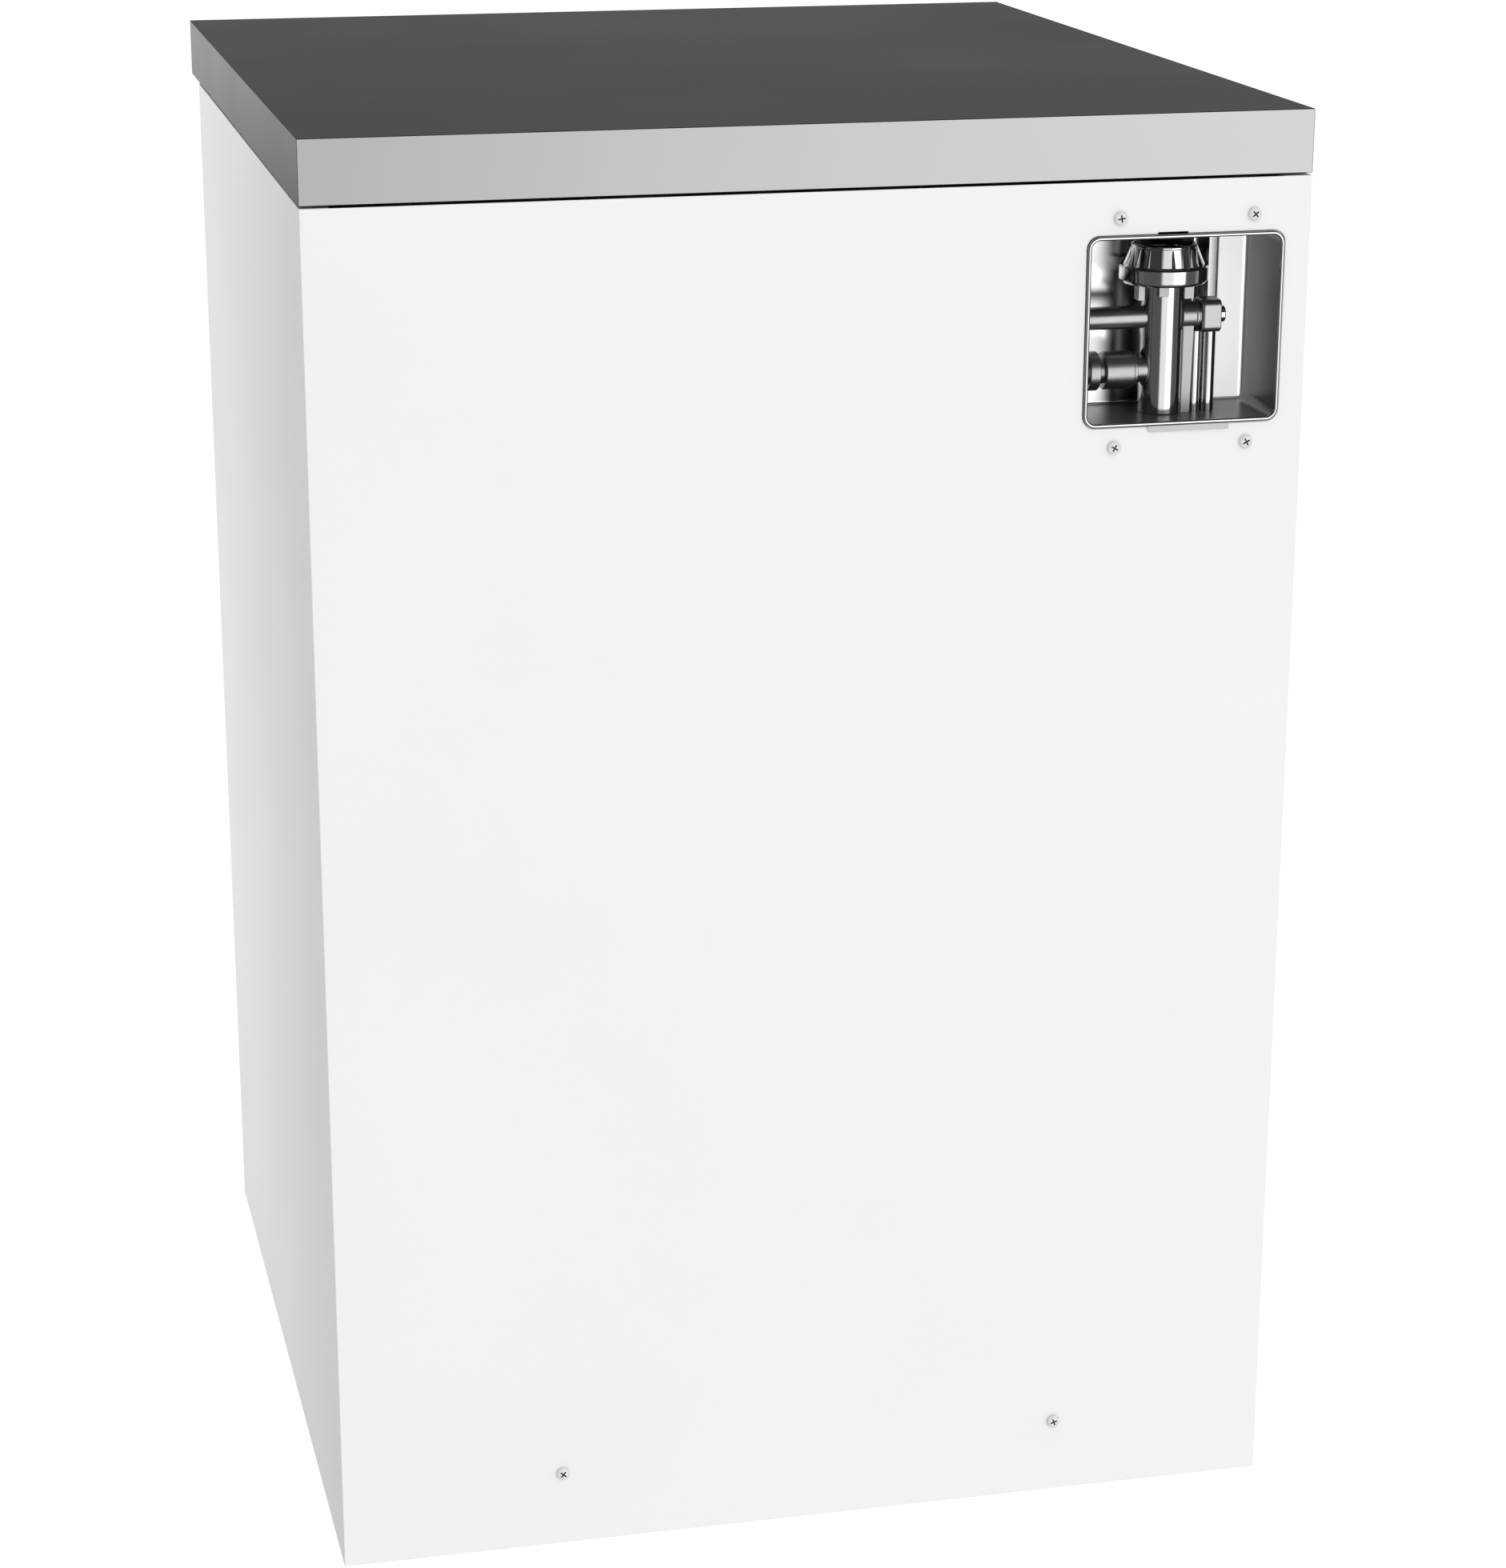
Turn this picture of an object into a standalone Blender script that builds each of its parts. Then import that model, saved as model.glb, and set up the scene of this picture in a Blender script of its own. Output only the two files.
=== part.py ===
"""Portable dishwasher with a stowed tap coupler, modelled in Blender.

Metres, +Z up. The origin is on the floor under the middle of the machine. The door
faces -Y, and the rear panel with the coupler recess faces +Y.
"""

import math

import bmesh
import bpy
from mathutils import Matrix, Vector

# ---------------------------------------------------------------- driving sizes

GAP = 0.0003                 # gap between pieces that touch
SHEET = 0.001                # sheet steel of the cabinet

LIFT = 0.018                 # floor to the bottom edge of the cabinet
CABINET_W = 0.628
CABINET_H = 0.8887           # bottom edge to the underside of the worktop
REAR_Y = 0.3381              # outer face of the rear panel
SIDE_DEPTH = 0.6276          # front edge of a side panel to the rear face

TOP_W = 0.6286
TOP_T = 0.0394
TOP_FRONT_Y = -0.3405
TOP_REAR_Y = REAR_Y - 0.0004
TOP_EDGE_R = 0.003

HALF_W = CABINET_W / 2
FRONT_Y = REAR_Y - SIDE_DEPTH
TOP_Z = LIFT + CABINET_H     # underside of the worktop
PANEL_TOP_Z = TOP_Z - 0.0015
PANEL_REAR_Y = REAR_Y - SHEET
SIDE_FLANGE = 0.018

# stowage recess
RIM_X = (-0.2977, -0.1695)
RIM_Z = (LIFT + 0.7341, LIFT + 0.8538)
RIM_PROUD = 0.0016
RECESS_WALL = 0.0016
RECESS_DEPTH = 0.060
RIM_CORNER_R = 0.008
RECESS_FLOOR_Z = RIM_Z[0] + RECESS_WALL

# screws: x and z of each on the rear panel, and the turn of its cross in degrees
RECESS_SCREWS = (
    (-0.1902, LIFT + 0.8646, 8),
    (-0.2772, LIFT + 0.8646, 40),
    (-0.1902, LIFT + 0.7212, 62),
    (-0.2772, LIFT + 0.7212, 28),
)
REAR_SCREWS = (
    ("rear_screw_left", 0.1685, LIFT + 0.0508, 50),
    ("rear_screw_right", -0.1685, LIFT + 0.0508, 20),
)
SCREW_HEAD_R = 0.0044
SCREW_HEAD_H = 0.0021
SCREW_SHANK_R = 0.0018
SCREW_HOLE_R = 0.0022
SCREW_LENGTH = 0.012

# coupler
COUPLER_X = -0.2297
COUPLER_Y = REAR_Y - 0.030
CROSS_Z = LIFT + 0.7975      # axis of the cross pipe
DRAIN_Z = LIFT + 0.7645      # axis of the drain connection
COUPLER_R = 0.014
COLLAR_Z = LIFT + 0.8195     # bottom of the collar

# tub
TUB_HALF_W = 0.280
TUB_WALL = 0.004
TUB_Z = (0.150, 0.880)
TUB_FRONT_Y = -0.283
TUB_REAR_Y = 0.266
TUB_FLANGE = 0.014
TUB_FLOOR_Z = TUB_Z[0] + TUB_WALL

# door
HINGE_Y = -0.300
HINGE_Z = 0.125
DOOR_HALF_W = 0.303
DOOR_FRONT_Y = -0.3395
DOOR_BACK_Y = -0.2892        # inner face of the liner
DOOR_Z = (0.115, 0.790)
LINER_HALF_W = 0.2955
CONSOLE_Z = (0.7915, 0.898)
CONSOLE_FRONT_Y = -0.340
CONSOLE_WALL = 0.0025
ARM_X = (0.297, 0.300)       # hinge arm plate, left side
PIN_R = 0.004
TAIL_Y = -0.245              # spring hole in the tail of the arm
SPRING_X = 0.292
SPRING_FOOT_Z = 0.034

# casters
CASTER_X = 0.240
CASTER_YS = (("front", -0.215), ("rear", 0.225))
WHEEL_R = 0.025
WHEEL_W = 0.018
CASTER_TRAIL = 0.018
CASTER_PLATE_Z = (0.066, 0.070)

# racks
RACK_WALL = 0.0025
LOWER_RACK = ((-0.245, -0.240, 0.205), (0.245, 0.222, 0.345))
UPPER_RACK = ((-0.243, -0.235, 0.480), (0.243, 0.205, 0.600))
RAIL_Z = (0.5065, 0.5295)
RAIL_Y = (-0.270, 0.230)
RAIL_X = (0.252, 0.264)
LOWER_ARM_Z = 0.182
UPPER_ARM_XY = (0.0, -0.010)
FLOAT_XY = (0.215, -0.235)
HEATER_R = 0.190
HEATER_Y = math.sqrt(HEATER_R ** 2 - 0.020 ** 2)
HEATER_Z = 0.166

# pump
PUMP_TOP_Z = 0.109
PUMP_BOTTOM_Z = 0.084

WHITE = (0.86, 0.86, 0.87, 1.0)
GREY_TOP = (0.34, 0.34, 0.345, 1.0)
DARK_METAL = (0.16, 0.16, 0.165, 1.0)
ZINC = (0.55, 0.56, 0.57, 1.0)
STEEL = (0.62, 0.62, 0.63, 1.0)
BLACK = (0.03, 0.03, 0.032, 1.0)
RUBBER = (0.06, 0.06, 0.06, 1.0)
LIGHT_GREY = (0.66, 0.67, 0.68, 1.0)
BLUE_GREY = (0.42, 0.47, 0.52, 1.0)


# ---------------------------------------------------------------- scene helpers

def clear_scene():
    for old in list(bpy.data.objects):
        bpy.data.objects.remove(old)


def new_collection(name):
    made = bpy.data.collections.new(name)
    bpy.context.scene.collection.children.link(made)
    return made


clear_scene()
PARTS = new_collection("portable_dishwasher")
CUTTERS = new_collection("cutters")


def material(name, colour, roughness, metallic):
    made = bpy.data.materials.new(name)
    made.use_nodes = True
    shader = made.node_tree.nodes["Principled BSDF"]
    shader.inputs["Base Color"].default_value = colour
    shader.inputs["Roughness"].default_value = roughness
    shader.inputs["Metallic"].default_value = metallic
    made.diffuse_color = colour
    return made


def finish(obj, colour, roughness=0.4, metallic=0.0):
    """Make an object one of the parts, with a material of its own."""
    for owner in list(obj.users_collection):
        owner.objects.unlink(obj)
    PARTS.objects.link(obj)
    obj.data.materials.clear()
    obj.data.materials.append(material(obj.name, colour, roughness, metallic))
    return obj


def helper(obj):
    """Make an object a cutter or a tool, which isn't part of the machine."""
    for owner in list(obj.users_collection):
        owner.objects.unlink(obj)
    CUTTERS.objects.link(obj)
    obj.hide_render = True
    obj.display_type = "WIRE"
    return obj


def object_from(name, bm, origin=(0, 0, 0)):
    mesh = bpy.data.meshes.new(name)
    bm.transform(Matrix.Translation(-Vector(origin)))
    bm.to_mesh(mesh)
    bm.free()
    obj = bpy.data.objects.new(name, mesh)
    obj.location = origin
    bpy.context.scene.collection.objects.link(obj)
    return obj


def box_mesh(low, high):
    low = Vector(low)
    size = Vector(high) - low
    bm = bmesh.new()
    bmesh.ops.create_cube(bm, size=1.0)
    bmesh.ops.scale(bm, vec=size, verts=bm.verts)
    bmesh.ops.translate(bm, vec=low + size / 2, verts=bm.verts)
    return bm


def box(name, low, high, origin=(0, 0, 0)):
    return object_from(name, box_mesh(low, high), origin)


def along(edge, axis):
    direction = (edge.verts[1].co - edge.verts[0].co).normalized()
    return abs(direction[axis]) > 0.99


def rounded_box(name, low, high, radius, axis, segments=4, origin=(0, 0, 0)):
    """A box whose edges along one axis are rounded."""
    bm = box_mesh(low, high)
    edges = [edge for edge in bm.edges if along(edge, axis)]
    bmesh.ops.bevel(bm, geom=edges, offset=radius, segments=segments, profile=0.5, affect="EDGES")
    return object_from(name, bm, origin)


def cylinder(name, start, end, radius, segments=24, origin=(0, 0, 0)):
    start = Vector(start)
    reach = Vector(end) - start
    bm = bmesh.new()
    bmesh.ops.create_cone(
        bm, cap_ends=True, segments=segments, radius1=radius, radius2=radius, depth=reach.length)
    turn = reach.to_track_quat("Z", "Y").to_matrix().to_4x4()
    bm.transform(Matrix.Translation(start + reach / 2) @ turn)
    return object_from(name, bm, origin)


def smooth(obj, degrees=35):
    obj.data.shade_smooth()
    obj.data.set_sharp_from_angle(angle=math.radians(degrees))
    return obj


def turned(name, profile, location, steps=32, axis="Z"):
    """A turned piece. Its profile of (radius, height) runs down its outer side."""
    bm = bmesh.new()
    corners = [bm.verts.new((radius, 0, height)) for radius, height in profile]
    for first, second in zip(corners, corners[1:]):
        bm.edges.new((first, second))
    if profile[0][0] > 0:
        bm.edges.new((corners[-1], corners[0]))
    obj = object_from(name, bm)
    obj.location = location
    if axis == "X":
        obj.rotation_euler = (0, math.pi / 2, 0)
    screw = obj.modifiers.new("turn", "SCREW")
    screw.axis = "Z"
    screw.steps = steps
    screw.render_steps = steps
    screw.use_merge_vertices = True
    screw.merge_threshold = 0.00001
    screw.use_smooth_shade = False
    return obj


def boolean(obj, other, operation):
    helper(other)
    modifier = obj.modifiers.new(operation.lower(), "BOOLEAN")
    modifier.operation = operation
    modifier.solver = "EXACT"
    modifier.object = other
    return obj


def cut(obj, *others):
    for other in others:
        boolean(obj, other, "DIFFERENCE")
    return obj


def join(obj, *others):
    for other in others:
        boolean(obj, other, "UNION")
    return obj


def shell(obj, thickness, offset=-1):
    """Give an open surface its wall, inwards from its faces unless offset says otherwise."""
    modifier = obj.modifiers.new("wall", "SOLIDIFY")
    modifier.thickness = thickness
    modifier.offset = offset
    modifier.use_even_offset = True
    return obj


def open_box_mesh(low, high, open_sides, bevel_axis=None, radius=0.0, segments=2):
    """A box of faces only, without the faces whose outward normals are in open_sides."""
    bm = box_mesh(low, high)
    if bevel_axis is not None:
        edges = [edge for edge in bm.edges if along(edge, bevel_axis)]
        bmesh.ops.bevel(bm, geom=edges, offset=radius, segments=segments, profile=0.5, affect="EDGES")
    bm.normal_update()
    gone = [face for face in bm.faces
            if any(face.normal.dot(Vector(side)) > 0.99 for side in open_sides)]
    bmesh.ops.delete(bm, geom=gone, context="FACES")
    return bm


def tube(name, points, radius, resolution=2):
    curve = bpy.data.curves.new(name, "CURVE")
    curve.dimensions = "3D"
    curve.bevel_depth = radius
    curve.bevel_resolution = resolution
    curve.use_fill_caps = True
    spline = curve.splines.new("POLY")
    spline.points.add(len(points) - 1)
    for point, place in zip(spline.points, points):
        point.co = (*place, 1.0)
    obj = bpy.data.objects.new(name, curve)
    bpy.context.scene.collection.objects.link(obj)
    return obj


def smooth_route(knots, spacing):
    """Points about a spacing apart on a smooth curve through the knots."""
    knots = [Vector(knot) for knot in knots]
    padded = [2 * knots[0] - knots[1]] + knots + [2 * knots[-1] - knots[-2]]
    route = []
    for index in range(1, len(padded) - 2):
        before, start, end, after = padded[index - 1:index + 3]
        count = max(1, round((end - start).length / spacing))
        for step in range(count):
            t = step / count
            route.append(0.5 * (2 * start + (end - before) * t
                                + (2 * before - 5 * start + 4 * end - after) * t ** 2
                                + (3 * start - before - 3 * end + after) * t ** 3))
    return route + [knots[-1]]


def outline_plate(name, outline, x_low, x_high, origin=(0, 0, 0)):
    """A flat plate across X whose outline is a list of (y, z)."""
    bm = bmesh.new()
    corners = [bm.verts.new((x_low, y, z)) for y, z in outline]
    face = bm.faces.new(corners)
    grown = bmesh.ops.extrude_face_region(bm, geom=[face])
    moved = [item for item in grown["geom"] if isinstance(item, bmesh.types.BMVert)]
    bmesh.ops.translate(bm, vec=(x_high - x_low, 0, 0), verts=moved)
    bmesh.ops.recalc_face_normals(bm, faces=bm.faces)
    return object_from(name, bm, origin)


# ---------------------------------------------------------------- cabinet

def make_countertop():
    top = box("countertop", (-TOP_W / 2, TOP_FRONT_Y, TOP_Z), (TOP_W / 2, TOP_REAR_Y, TOP_Z + TOP_T))
    bevel = top.modifiers.new("edges", "BEVEL")
    bevel.width = TOP_EDGE_R
    bevel.segments = 3
    finish(top, GREY_TOP, 0.3, 0.3)


def screw_places():
    named = [("recess_screw_%d" % (index + 1), *place) for index, place in enumerate(RECESS_SCREWS)]
    return named + list(REAR_SCREWS)


def screw_hole(x, z, y_low, y_high):
    return cylinder("screw_hole", (x, y_low, z), (x, y_high, z), SCREW_HOLE_R, 12)


def make_rear_panel():
    panel = box("rear_panel", (-HALF_W, PANEL_REAR_Y, LIFT), (HALF_W, REAR_Y, PANEL_TOP_Z))
    cut(panel, rounded_box(
        "recess_opening",
        (RIM_X[0] - GAP, PANEL_REAR_Y - 0.01, RIM_Z[0] - GAP),
        (RIM_X[1] + GAP, REAR_Y + 0.01, RIM_Z[1] + GAP), RIM_CORNER_R + GAP, 1))
    cut(panel, box("clip_slot", (-0.2345, PANEL_REAR_Y - 0.01, RIM_Z[1] - 0.004),
                   (-0.2149, REAR_Y + 0.01, RIM_Z[1] + 0.0014)))
    for name, x, z, turn in screw_places():
        cut(panel, screw_hole(x, z, PANEL_REAR_Y - 0.01, REAR_Y + 0.01))
    finish(panel, WHITE, 0.35)


def make_side_panel(name, side):
    inner = side * (HALF_W - SIDE_FLANGE)
    outer = side * HALF_W
    rear = PANEL_REAR_Y - GAP
    bm = open_box_mesh(
        (min(inner, outer), FRONT_Y, LIFT), (max(inner, outer), rear, PANEL_TOP_Z),
        ((-side, 0, 0), (0, 1, 0)))
    panel = shell(object_from(name, bm), SHEET)
    cut(panel, box("hinge_notch",
                   (min(inner * 0.98, side * (HALF_W - SHEET - GAP)), FRONT_Y - 0.003, LIFT + SHEET + GAP),
                   (max(inner * 0.98, side * (HALF_W - SHEET - GAP)), FRONT_Y + 0.006, 0.240)))
    finish(panel, WHITE, 0.35)


def make_toe_kick():
    bm = open_box_mesh((-0.290, -0.2860, 0.022), (0.290, -0.2700, 0.108),
                       ((0, 1, 0), (1, 0, 0), (-1, 0, 0), (0, 0, 1)))
    kick = shell(object_from("toe_kick", bm), SHEET)
    finish(kick, WHITE, 0.4)


def make_base_frame():
    """Side bars, cross bars, tub supports, caster plates, hinge brackets and spring lugs."""
    frame = box("base_frame", (-0.305, -0.279, 0.066), (0.305, -0.269, 0.096))
    pieces = [
        box("rear_bar", (-0.311, 0.3325, 0.056), (0.311, 0.3365, 0.0955)),
    ]
    for side in (-1, 1):
        pieces.append(side_box("side_bar", side, (0.302, -0.282, 0.0662), (0.312, 0.335, 0.0958)))
    for y in (-0.206, 0.200):
        pieces.append(box("tub_support", (-0.3045, y, 0.0665), (0.3045, y + 0.006, TUB_Z[0] - GAP)))
    for side in (-1, 1):
        plate_low, plate_high = CASTER_PLATE_Z
        pieces.append(side_box("front_plate", side, (0.195, -0.272, plate_low + 0.0004),
                               (0.285, -0.168, plate_high)))
        pieces.append(side_box("rear_plate", side, (0.195, 0.180, plate_low + 0.0004),
                               (0.3035, 0.272, plate_high)))
        pieces.append(side_box("hinge_bracket", side, (0.3039, -0.312, 0.0705),
                               (0.3081, -0.262, 0.146)))
        pieces.append(side_box("spring_lug", side, (0.3025, -0.255, 0.029), (0.3055, -0.235, 0.070)))
        pieces.append(cylinder("hinge_pin", (side * 0.2965, HINGE_Y, HINGE_Z),
                               (side * 0.305, HINGE_Y, HINGE_Z), PIN_R, 16))
        pieces.append(cylinder("spring_pin", (side * 0.2875, TAIL_Y, SPRING_FOOT_Z),
                               (side * 0.304, TAIL_Y, SPRING_FOOT_Z), 0.0015, 8))
    join(frame, *pieces)
    for y in (-0.206, 0.200):
        for side in (-1, 1):
            cut(frame, side_box("window", side, (0.020, y - 0.004, 0.0765), (0.275, y + 0.010, 0.137)))
    for side in (-1, 1):
        for name, y in CASTER_YS:
            cut(frame, cylinder("kingpin_hole", (side * CASTER_X, y, 0.05), (side * CASTER_X, y, 0.09),
                                0.0054, 16))
    for name, x, z, turn in REAR_SCREWS:
        cut(frame, screw_hole(x, z, 0.32, 0.35))
    finish(frame, ZINC, 0.45, 0.8)


def side_box(name, side, low, high):
    """A box given for the left side, +X, or the same one mirrored to the right."""
    xs = sorted((side * low[0], side * high[0]))
    return box(name, (xs[0], low[1], low[2]), (xs[1], high[1], high[2]))


def make_caster(end, side, y):
    x = side * CASTER_X
    hand = "left" if side > 0 else "right"
    pivot = (x, y, CASTER_PLATE_Z[0])
    wheel_y = y + CASTER_TRAIL
    cheek_in = WHEEL_W / 2 + 0.001
    cheek_out = cheek_in + 0.0025
    fork = box("caster_fork_%s_%s" % (end, hand), (x - cheek_out, y - 0.016, 0.0575),
               (x + cheek_out, y + 0.034, 0.0605), pivot)
    for cheek in (-1, 1):
        xs = sorted((x + cheek * cheek_in, x + cheek * cheek_out))
        plate = outline_plate("cheek", ((y - 0.015, 0.0590), (wheel_y - 0.008, 0.0185),
                                        (wheel_y + 0.008, 0.0185), (y + 0.033, 0.0590)), *xs)
        join(fork, plate)
    join(fork, cylinder("bearing_cup", (x, y, 0.0595), (x, y, 0.0655), 0.014, 20))
    join(fork, cylinder("kingpin", (x, y, 0.060), (x, y, 0.078), 0.005, 16))
    join(fork, cylinder("axle", (x - cheek_out - 0.002, wheel_y, WHEEL_R),
                        (x + cheek_out + 0.002, wheel_y, WHEEL_R), 0.003, 12))
    finish(fork, ZINC, 0.35, 0.9)

    half = WHEEL_W / 2
    profile = [(WHEEL_R - 0.002, half), (WHEEL_R, half - 0.002), (WHEEL_R, -half + 0.002),
               (WHEEL_R - 0.002, -half), (0.0033, -half), (0.0033, half)]
    wheel = turned("caster_wheel_%s_%s" % (end, hand), profile, (x, wheel_y, WHEEL_R), 28, "X")
    finish(wheel, RUBBER, 0.6)


# ---------------------------------------------------------------- screws

def make_screws():
    """Pan heads with a cross recess. One screw is made, and the others share its mesh."""
    dome = [(SCREW_HEAD_R * math.sin(math.radians(angle)) ** 0.8,
             SCREW_HEAD_H * (0.45 + 0.55 * math.cos(math.radians(angle))))
            for angle in (30, 60, 90)]
    profile = [(0, SCREW_HEAD_H), *dome, (SCREW_HEAD_R, 0), (SCREW_SHANK_R, 0),
               (SCREW_SHANK_R, -SCREW_LENGTH + 0.002), (0, -SCREW_LENGTH)]
    pattern = turned("screw_pattern", profile, (0, 0, 0), 14)
    for turn in (0, 90):
        slot = box("cross", (-0.0021, -0.00045, SCREW_HEAD_H - 0.0011), (0.0021, 0.00045, 0.01))
        slot.rotation_euler = (0, 0, math.radians(turn))
        cut(pattern, slot)
    helper(pattern)
    bpy.context.view_layer.update()
    evaluated = pattern.evaluated_get(bpy.context.evaluated_depsgraph_get())
    mesh = bpy.data.meshes.new_from_object(evaluated)
    for name, x, z, turn in screw_places():
        screw = bpy.data.objects.new(name, mesh.copy())
        bpy.context.scene.collection.objects.link(screw)
        screw.location = (x, REAR_Y + GAP, z)
        facing_rear = Matrix.Rotation(-math.pi / 2, 3, "X")
        screw.rotation_euler = (facing_rear @ Matrix.Rotation(math.radians(turn), 3, "Z")).to_euler()
        smooth(screw)
        finish(screw, WHITE, 0.3)


# ---------------------------------------------------------------- recess and coupler

def make_recess_box():
    back_y = REAR_Y - RECESS_DEPTH - RECESS_WALL
    recess = rounded_box("recess_box", (RIM_X[0], back_y, RIM_Z[0]),
                         (RIM_X[1], REAR_Y + RIM_PROUD, RIM_Z[1]), RIM_CORNER_R, 1)
    join(recess, box("mounting_flange", (RIM_X[0] - 0.0085, PANEL_REAR_Y - GAP - 0.0016, RIM_Z[0] - 0.020),
                     (RIM_X[1] + 0.0095, PANEL_REAR_Y - GAP, RIM_Z[1] + 0.018)))
    join(recess, box("tab", (-0.2653, REAR_Y + GAP, LIFT + 0.7302),
                     (-0.2116, REAR_Y + RIM_PROUD - 0.0003, LIFT + 0.7350)))
    cut(recess, rounded_box(
        "cavity", (RIM_X[0] + RECESS_WALL, REAR_Y - RECESS_DEPTH, RIM_Z[0] + RECESS_WALL),
        (RIM_X[1] - RECESS_WALL, REAR_Y + 0.01, RIM_Z[1] - RECESS_WALL), RIM_CORNER_R - RECESS_WALL, 1))
    wall_x = (RIM_X[1] - 0.004, RIM_X[1] + 0.004)
    cut(recess,
        cylinder("supply_hole", (wall_x[0], COUPLER_Y, CROSS_Z), (wall_x[1], COUPLER_Y, CROSS_Z), 0.0080, 20),
        cylinder("drain_hole", (wall_x[0], COUPLER_Y, DRAIN_Z), (wall_x[1], COUPLER_Y, DRAIN_Z), 0.0092, 20))
    for x, z, turn in RECESS_SCREWS:
        cut(recess, screw_hole(x, z, PANEL_REAR_Y - 0.01, REAR_Y - 0.0005))
    join(recess, cylinder("peg", (RIM_X[1] - 0.0008, REAR_Y - 0.022, LIFT + 0.786),
                          (RIM_X[1] - 0.0090, REAR_Y - 0.022, LIFT + 0.786), 0.0022, 10))
    finish(recess, DARK_METAL, 0.2, 0.6)


def make_recess_strip():
    """The light strip that stands on the back wall of the recess, next to its far corner."""
    back = REAR_Y - RECESS_DEPTH
    finish(box("recess_strip", (-0.2942, back + GAP, RECESS_FLOOR_Z + 0.0024),
               (-0.2768, back + GAP + 0.0012, RIM_Z[1] - RECESS_WALL - 0.0024)), WHITE, 0.3)


def make_coupler_body():
    """Vertical valve body, neck lugs, cross pipe, drain stub, and two riser tubes on a web."""
    foot = RECESS_FLOOR_Z + GAP
    shoulder = COLLAR_Z + 0.0030
    nozzle = COLLAR_Z + 0.0185
    profile = [(0.0105, nozzle), (0.0150, nozzle), (0.0150, shoulder), (COUPLER_R, shoulder - 0.001),
               (COUPLER_R, foot + 0.001), (COUPLER_R - 0.001, foot), (0, foot),
               (0, nozzle - 0.020), (0.0105, nozzle - 0.020)]
    body = turned_open("coupler_body", profile, (COUPLER_X, COUPLER_Y, 0), 26)
    for index in range(6):
        lug = box("lug", (0.0120, -0.0036, COLLAR_Z - 0.0120), (0.0190, 0.0036, COLLAR_Z + 0.0040))
        lug.location = (COUPLER_X, COUPLER_Y, 0)
        lug.rotation_euler = (0, 0, math.radians(67.3 + 60 * index))
        join(body, lug)
    join(body,
         cylinder("cross_pipe", (COUPLER_X + 0.004, COUPLER_Y, CROSS_Z), (-0.1605, COUPLER_Y, CROSS_Z),
                  0.0070, 20),
         cylinder("drain_stub", (COUPLER_X + 0.004, COUPLER_Y, DRAIN_Z), (-0.2120, COUPLER_Y, DRAIN_Z),
                  0.0085, 20),
         cylinder("valve_stub", (COUPLER_X - 0.004, COUPLER_Y, CROSS_Z), (-0.2530, COUPLER_Y, CROSS_Z),
                  0.0085, 20),
         box("web", (-0.2485, COUPLER_Y - 0.002, foot), (-0.2400, COUPLER_Y + 0.002, CROSS_Z - 0.004)),
         cylinder("riser_1", (-0.2510, COUPLER_Y, foot), (-0.2510, COUPLER_Y, CROSS_Z - 0.0125),
                  0.0046, 14),
         cylinder("riser_2", (-0.2600, COUPLER_Y, foot), (-0.2600, COUPLER_Y, CROSS_Z - 0.0125),
                  0.0047, 14))
    finish(body, DARK_METAL, 0.25, 0.8)


def turned_open(name, profile, location, steps):
    """A turned piece whose profile is a closed loop that touches the axis."""
    loop = list(profile)
    start = next(i for i, (radius, height) in enumerate(loop) if radius == 0)
    low = next(i for i in range(len(loop) - 1, -1, -1) if loop[i][0] == 0)
    ordered = loop[low:] + loop[:start + 1]
    return turned(name, ordered, location, steps)


def make_collar():
    z = COLLAR_Z
    profile = [(0.0165, z + 0.0243), (0.0205, z + 0.0243), (0.0252, z + 0.0106), (0.0280, z + 0.0103),
               (0.0280, z), (0.0197, z), (0.0197, z + 0.0205), (0.0165, z + 0.0205)]
    collar = turned("coupler_collar", [(r, h - z) for r, h in profile], (COUPLER_X, COUPLER_Y, z), 28)
    smooth_turned(collar)
    finish(collar, DARK_METAL, 0.25, 0.8)


def smooth_turned(obj):
    for modifier in obj.modifiers:
        if modifier.type == "SCREW":
            modifier.use_smooth_shade = True
    return obj


def make_hose_connector():
    """Union nut, neck and flange of the drain hose, turned along X towards -X."""
    start = -0.1605
    profile = [(0, -0.2117), (0.0110, -0.2117), (0.0120, -0.2107), (0.0120, -0.1905), (0.0085, -0.1905),
               (0.0085, -0.1868), (0.0125, -0.1868), (0.0125, -0.1800), (0.0085, -0.1800),
               (0.0085, start), (0, start)]
    turned_x = [(radius, start - x) for radius, x in profile]
    connector = turned("hose_connector", turned_x, (start, COUPLER_Y, DRAIN_Z), 20, "X")
    connector.rotation_euler = (0, -math.pi / 2, 0)
    finish(connector, DARK_METAL, 0.25, 0.8)


def make_release_valve():
    inner_end = -0.2533
    outer_end = -0.2660
    valve = cylinder("release_valve", (inner_end, COUPLER_Y, CROSS_Z), (outer_end, COUPLER_Y, CROSS_Z),
                     0.0115, 8)
    cut(valve, cylinder("button_bore", (-0.2560, COUPLER_Y, CROSS_Z), (-0.2700, COUPLER_Y, CROSS_Z),
                        0.0059, 20))
    finish(valve, DARK_METAL, 0.25, 0.8)
    button = cylinder("pressure_button", (-0.2595, COUPLER_Y, CROSS_Z), (-0.2705, COUPLER_Y, CROSS_Z),
                      0.0055, 20, origin=(-0.2595, COUPLER_Y, CROSS_Z))
    finish(button, DARK_METAL, 0.3, 0.6)


# ---------------------------------------------------------------- tub and wash system

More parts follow.
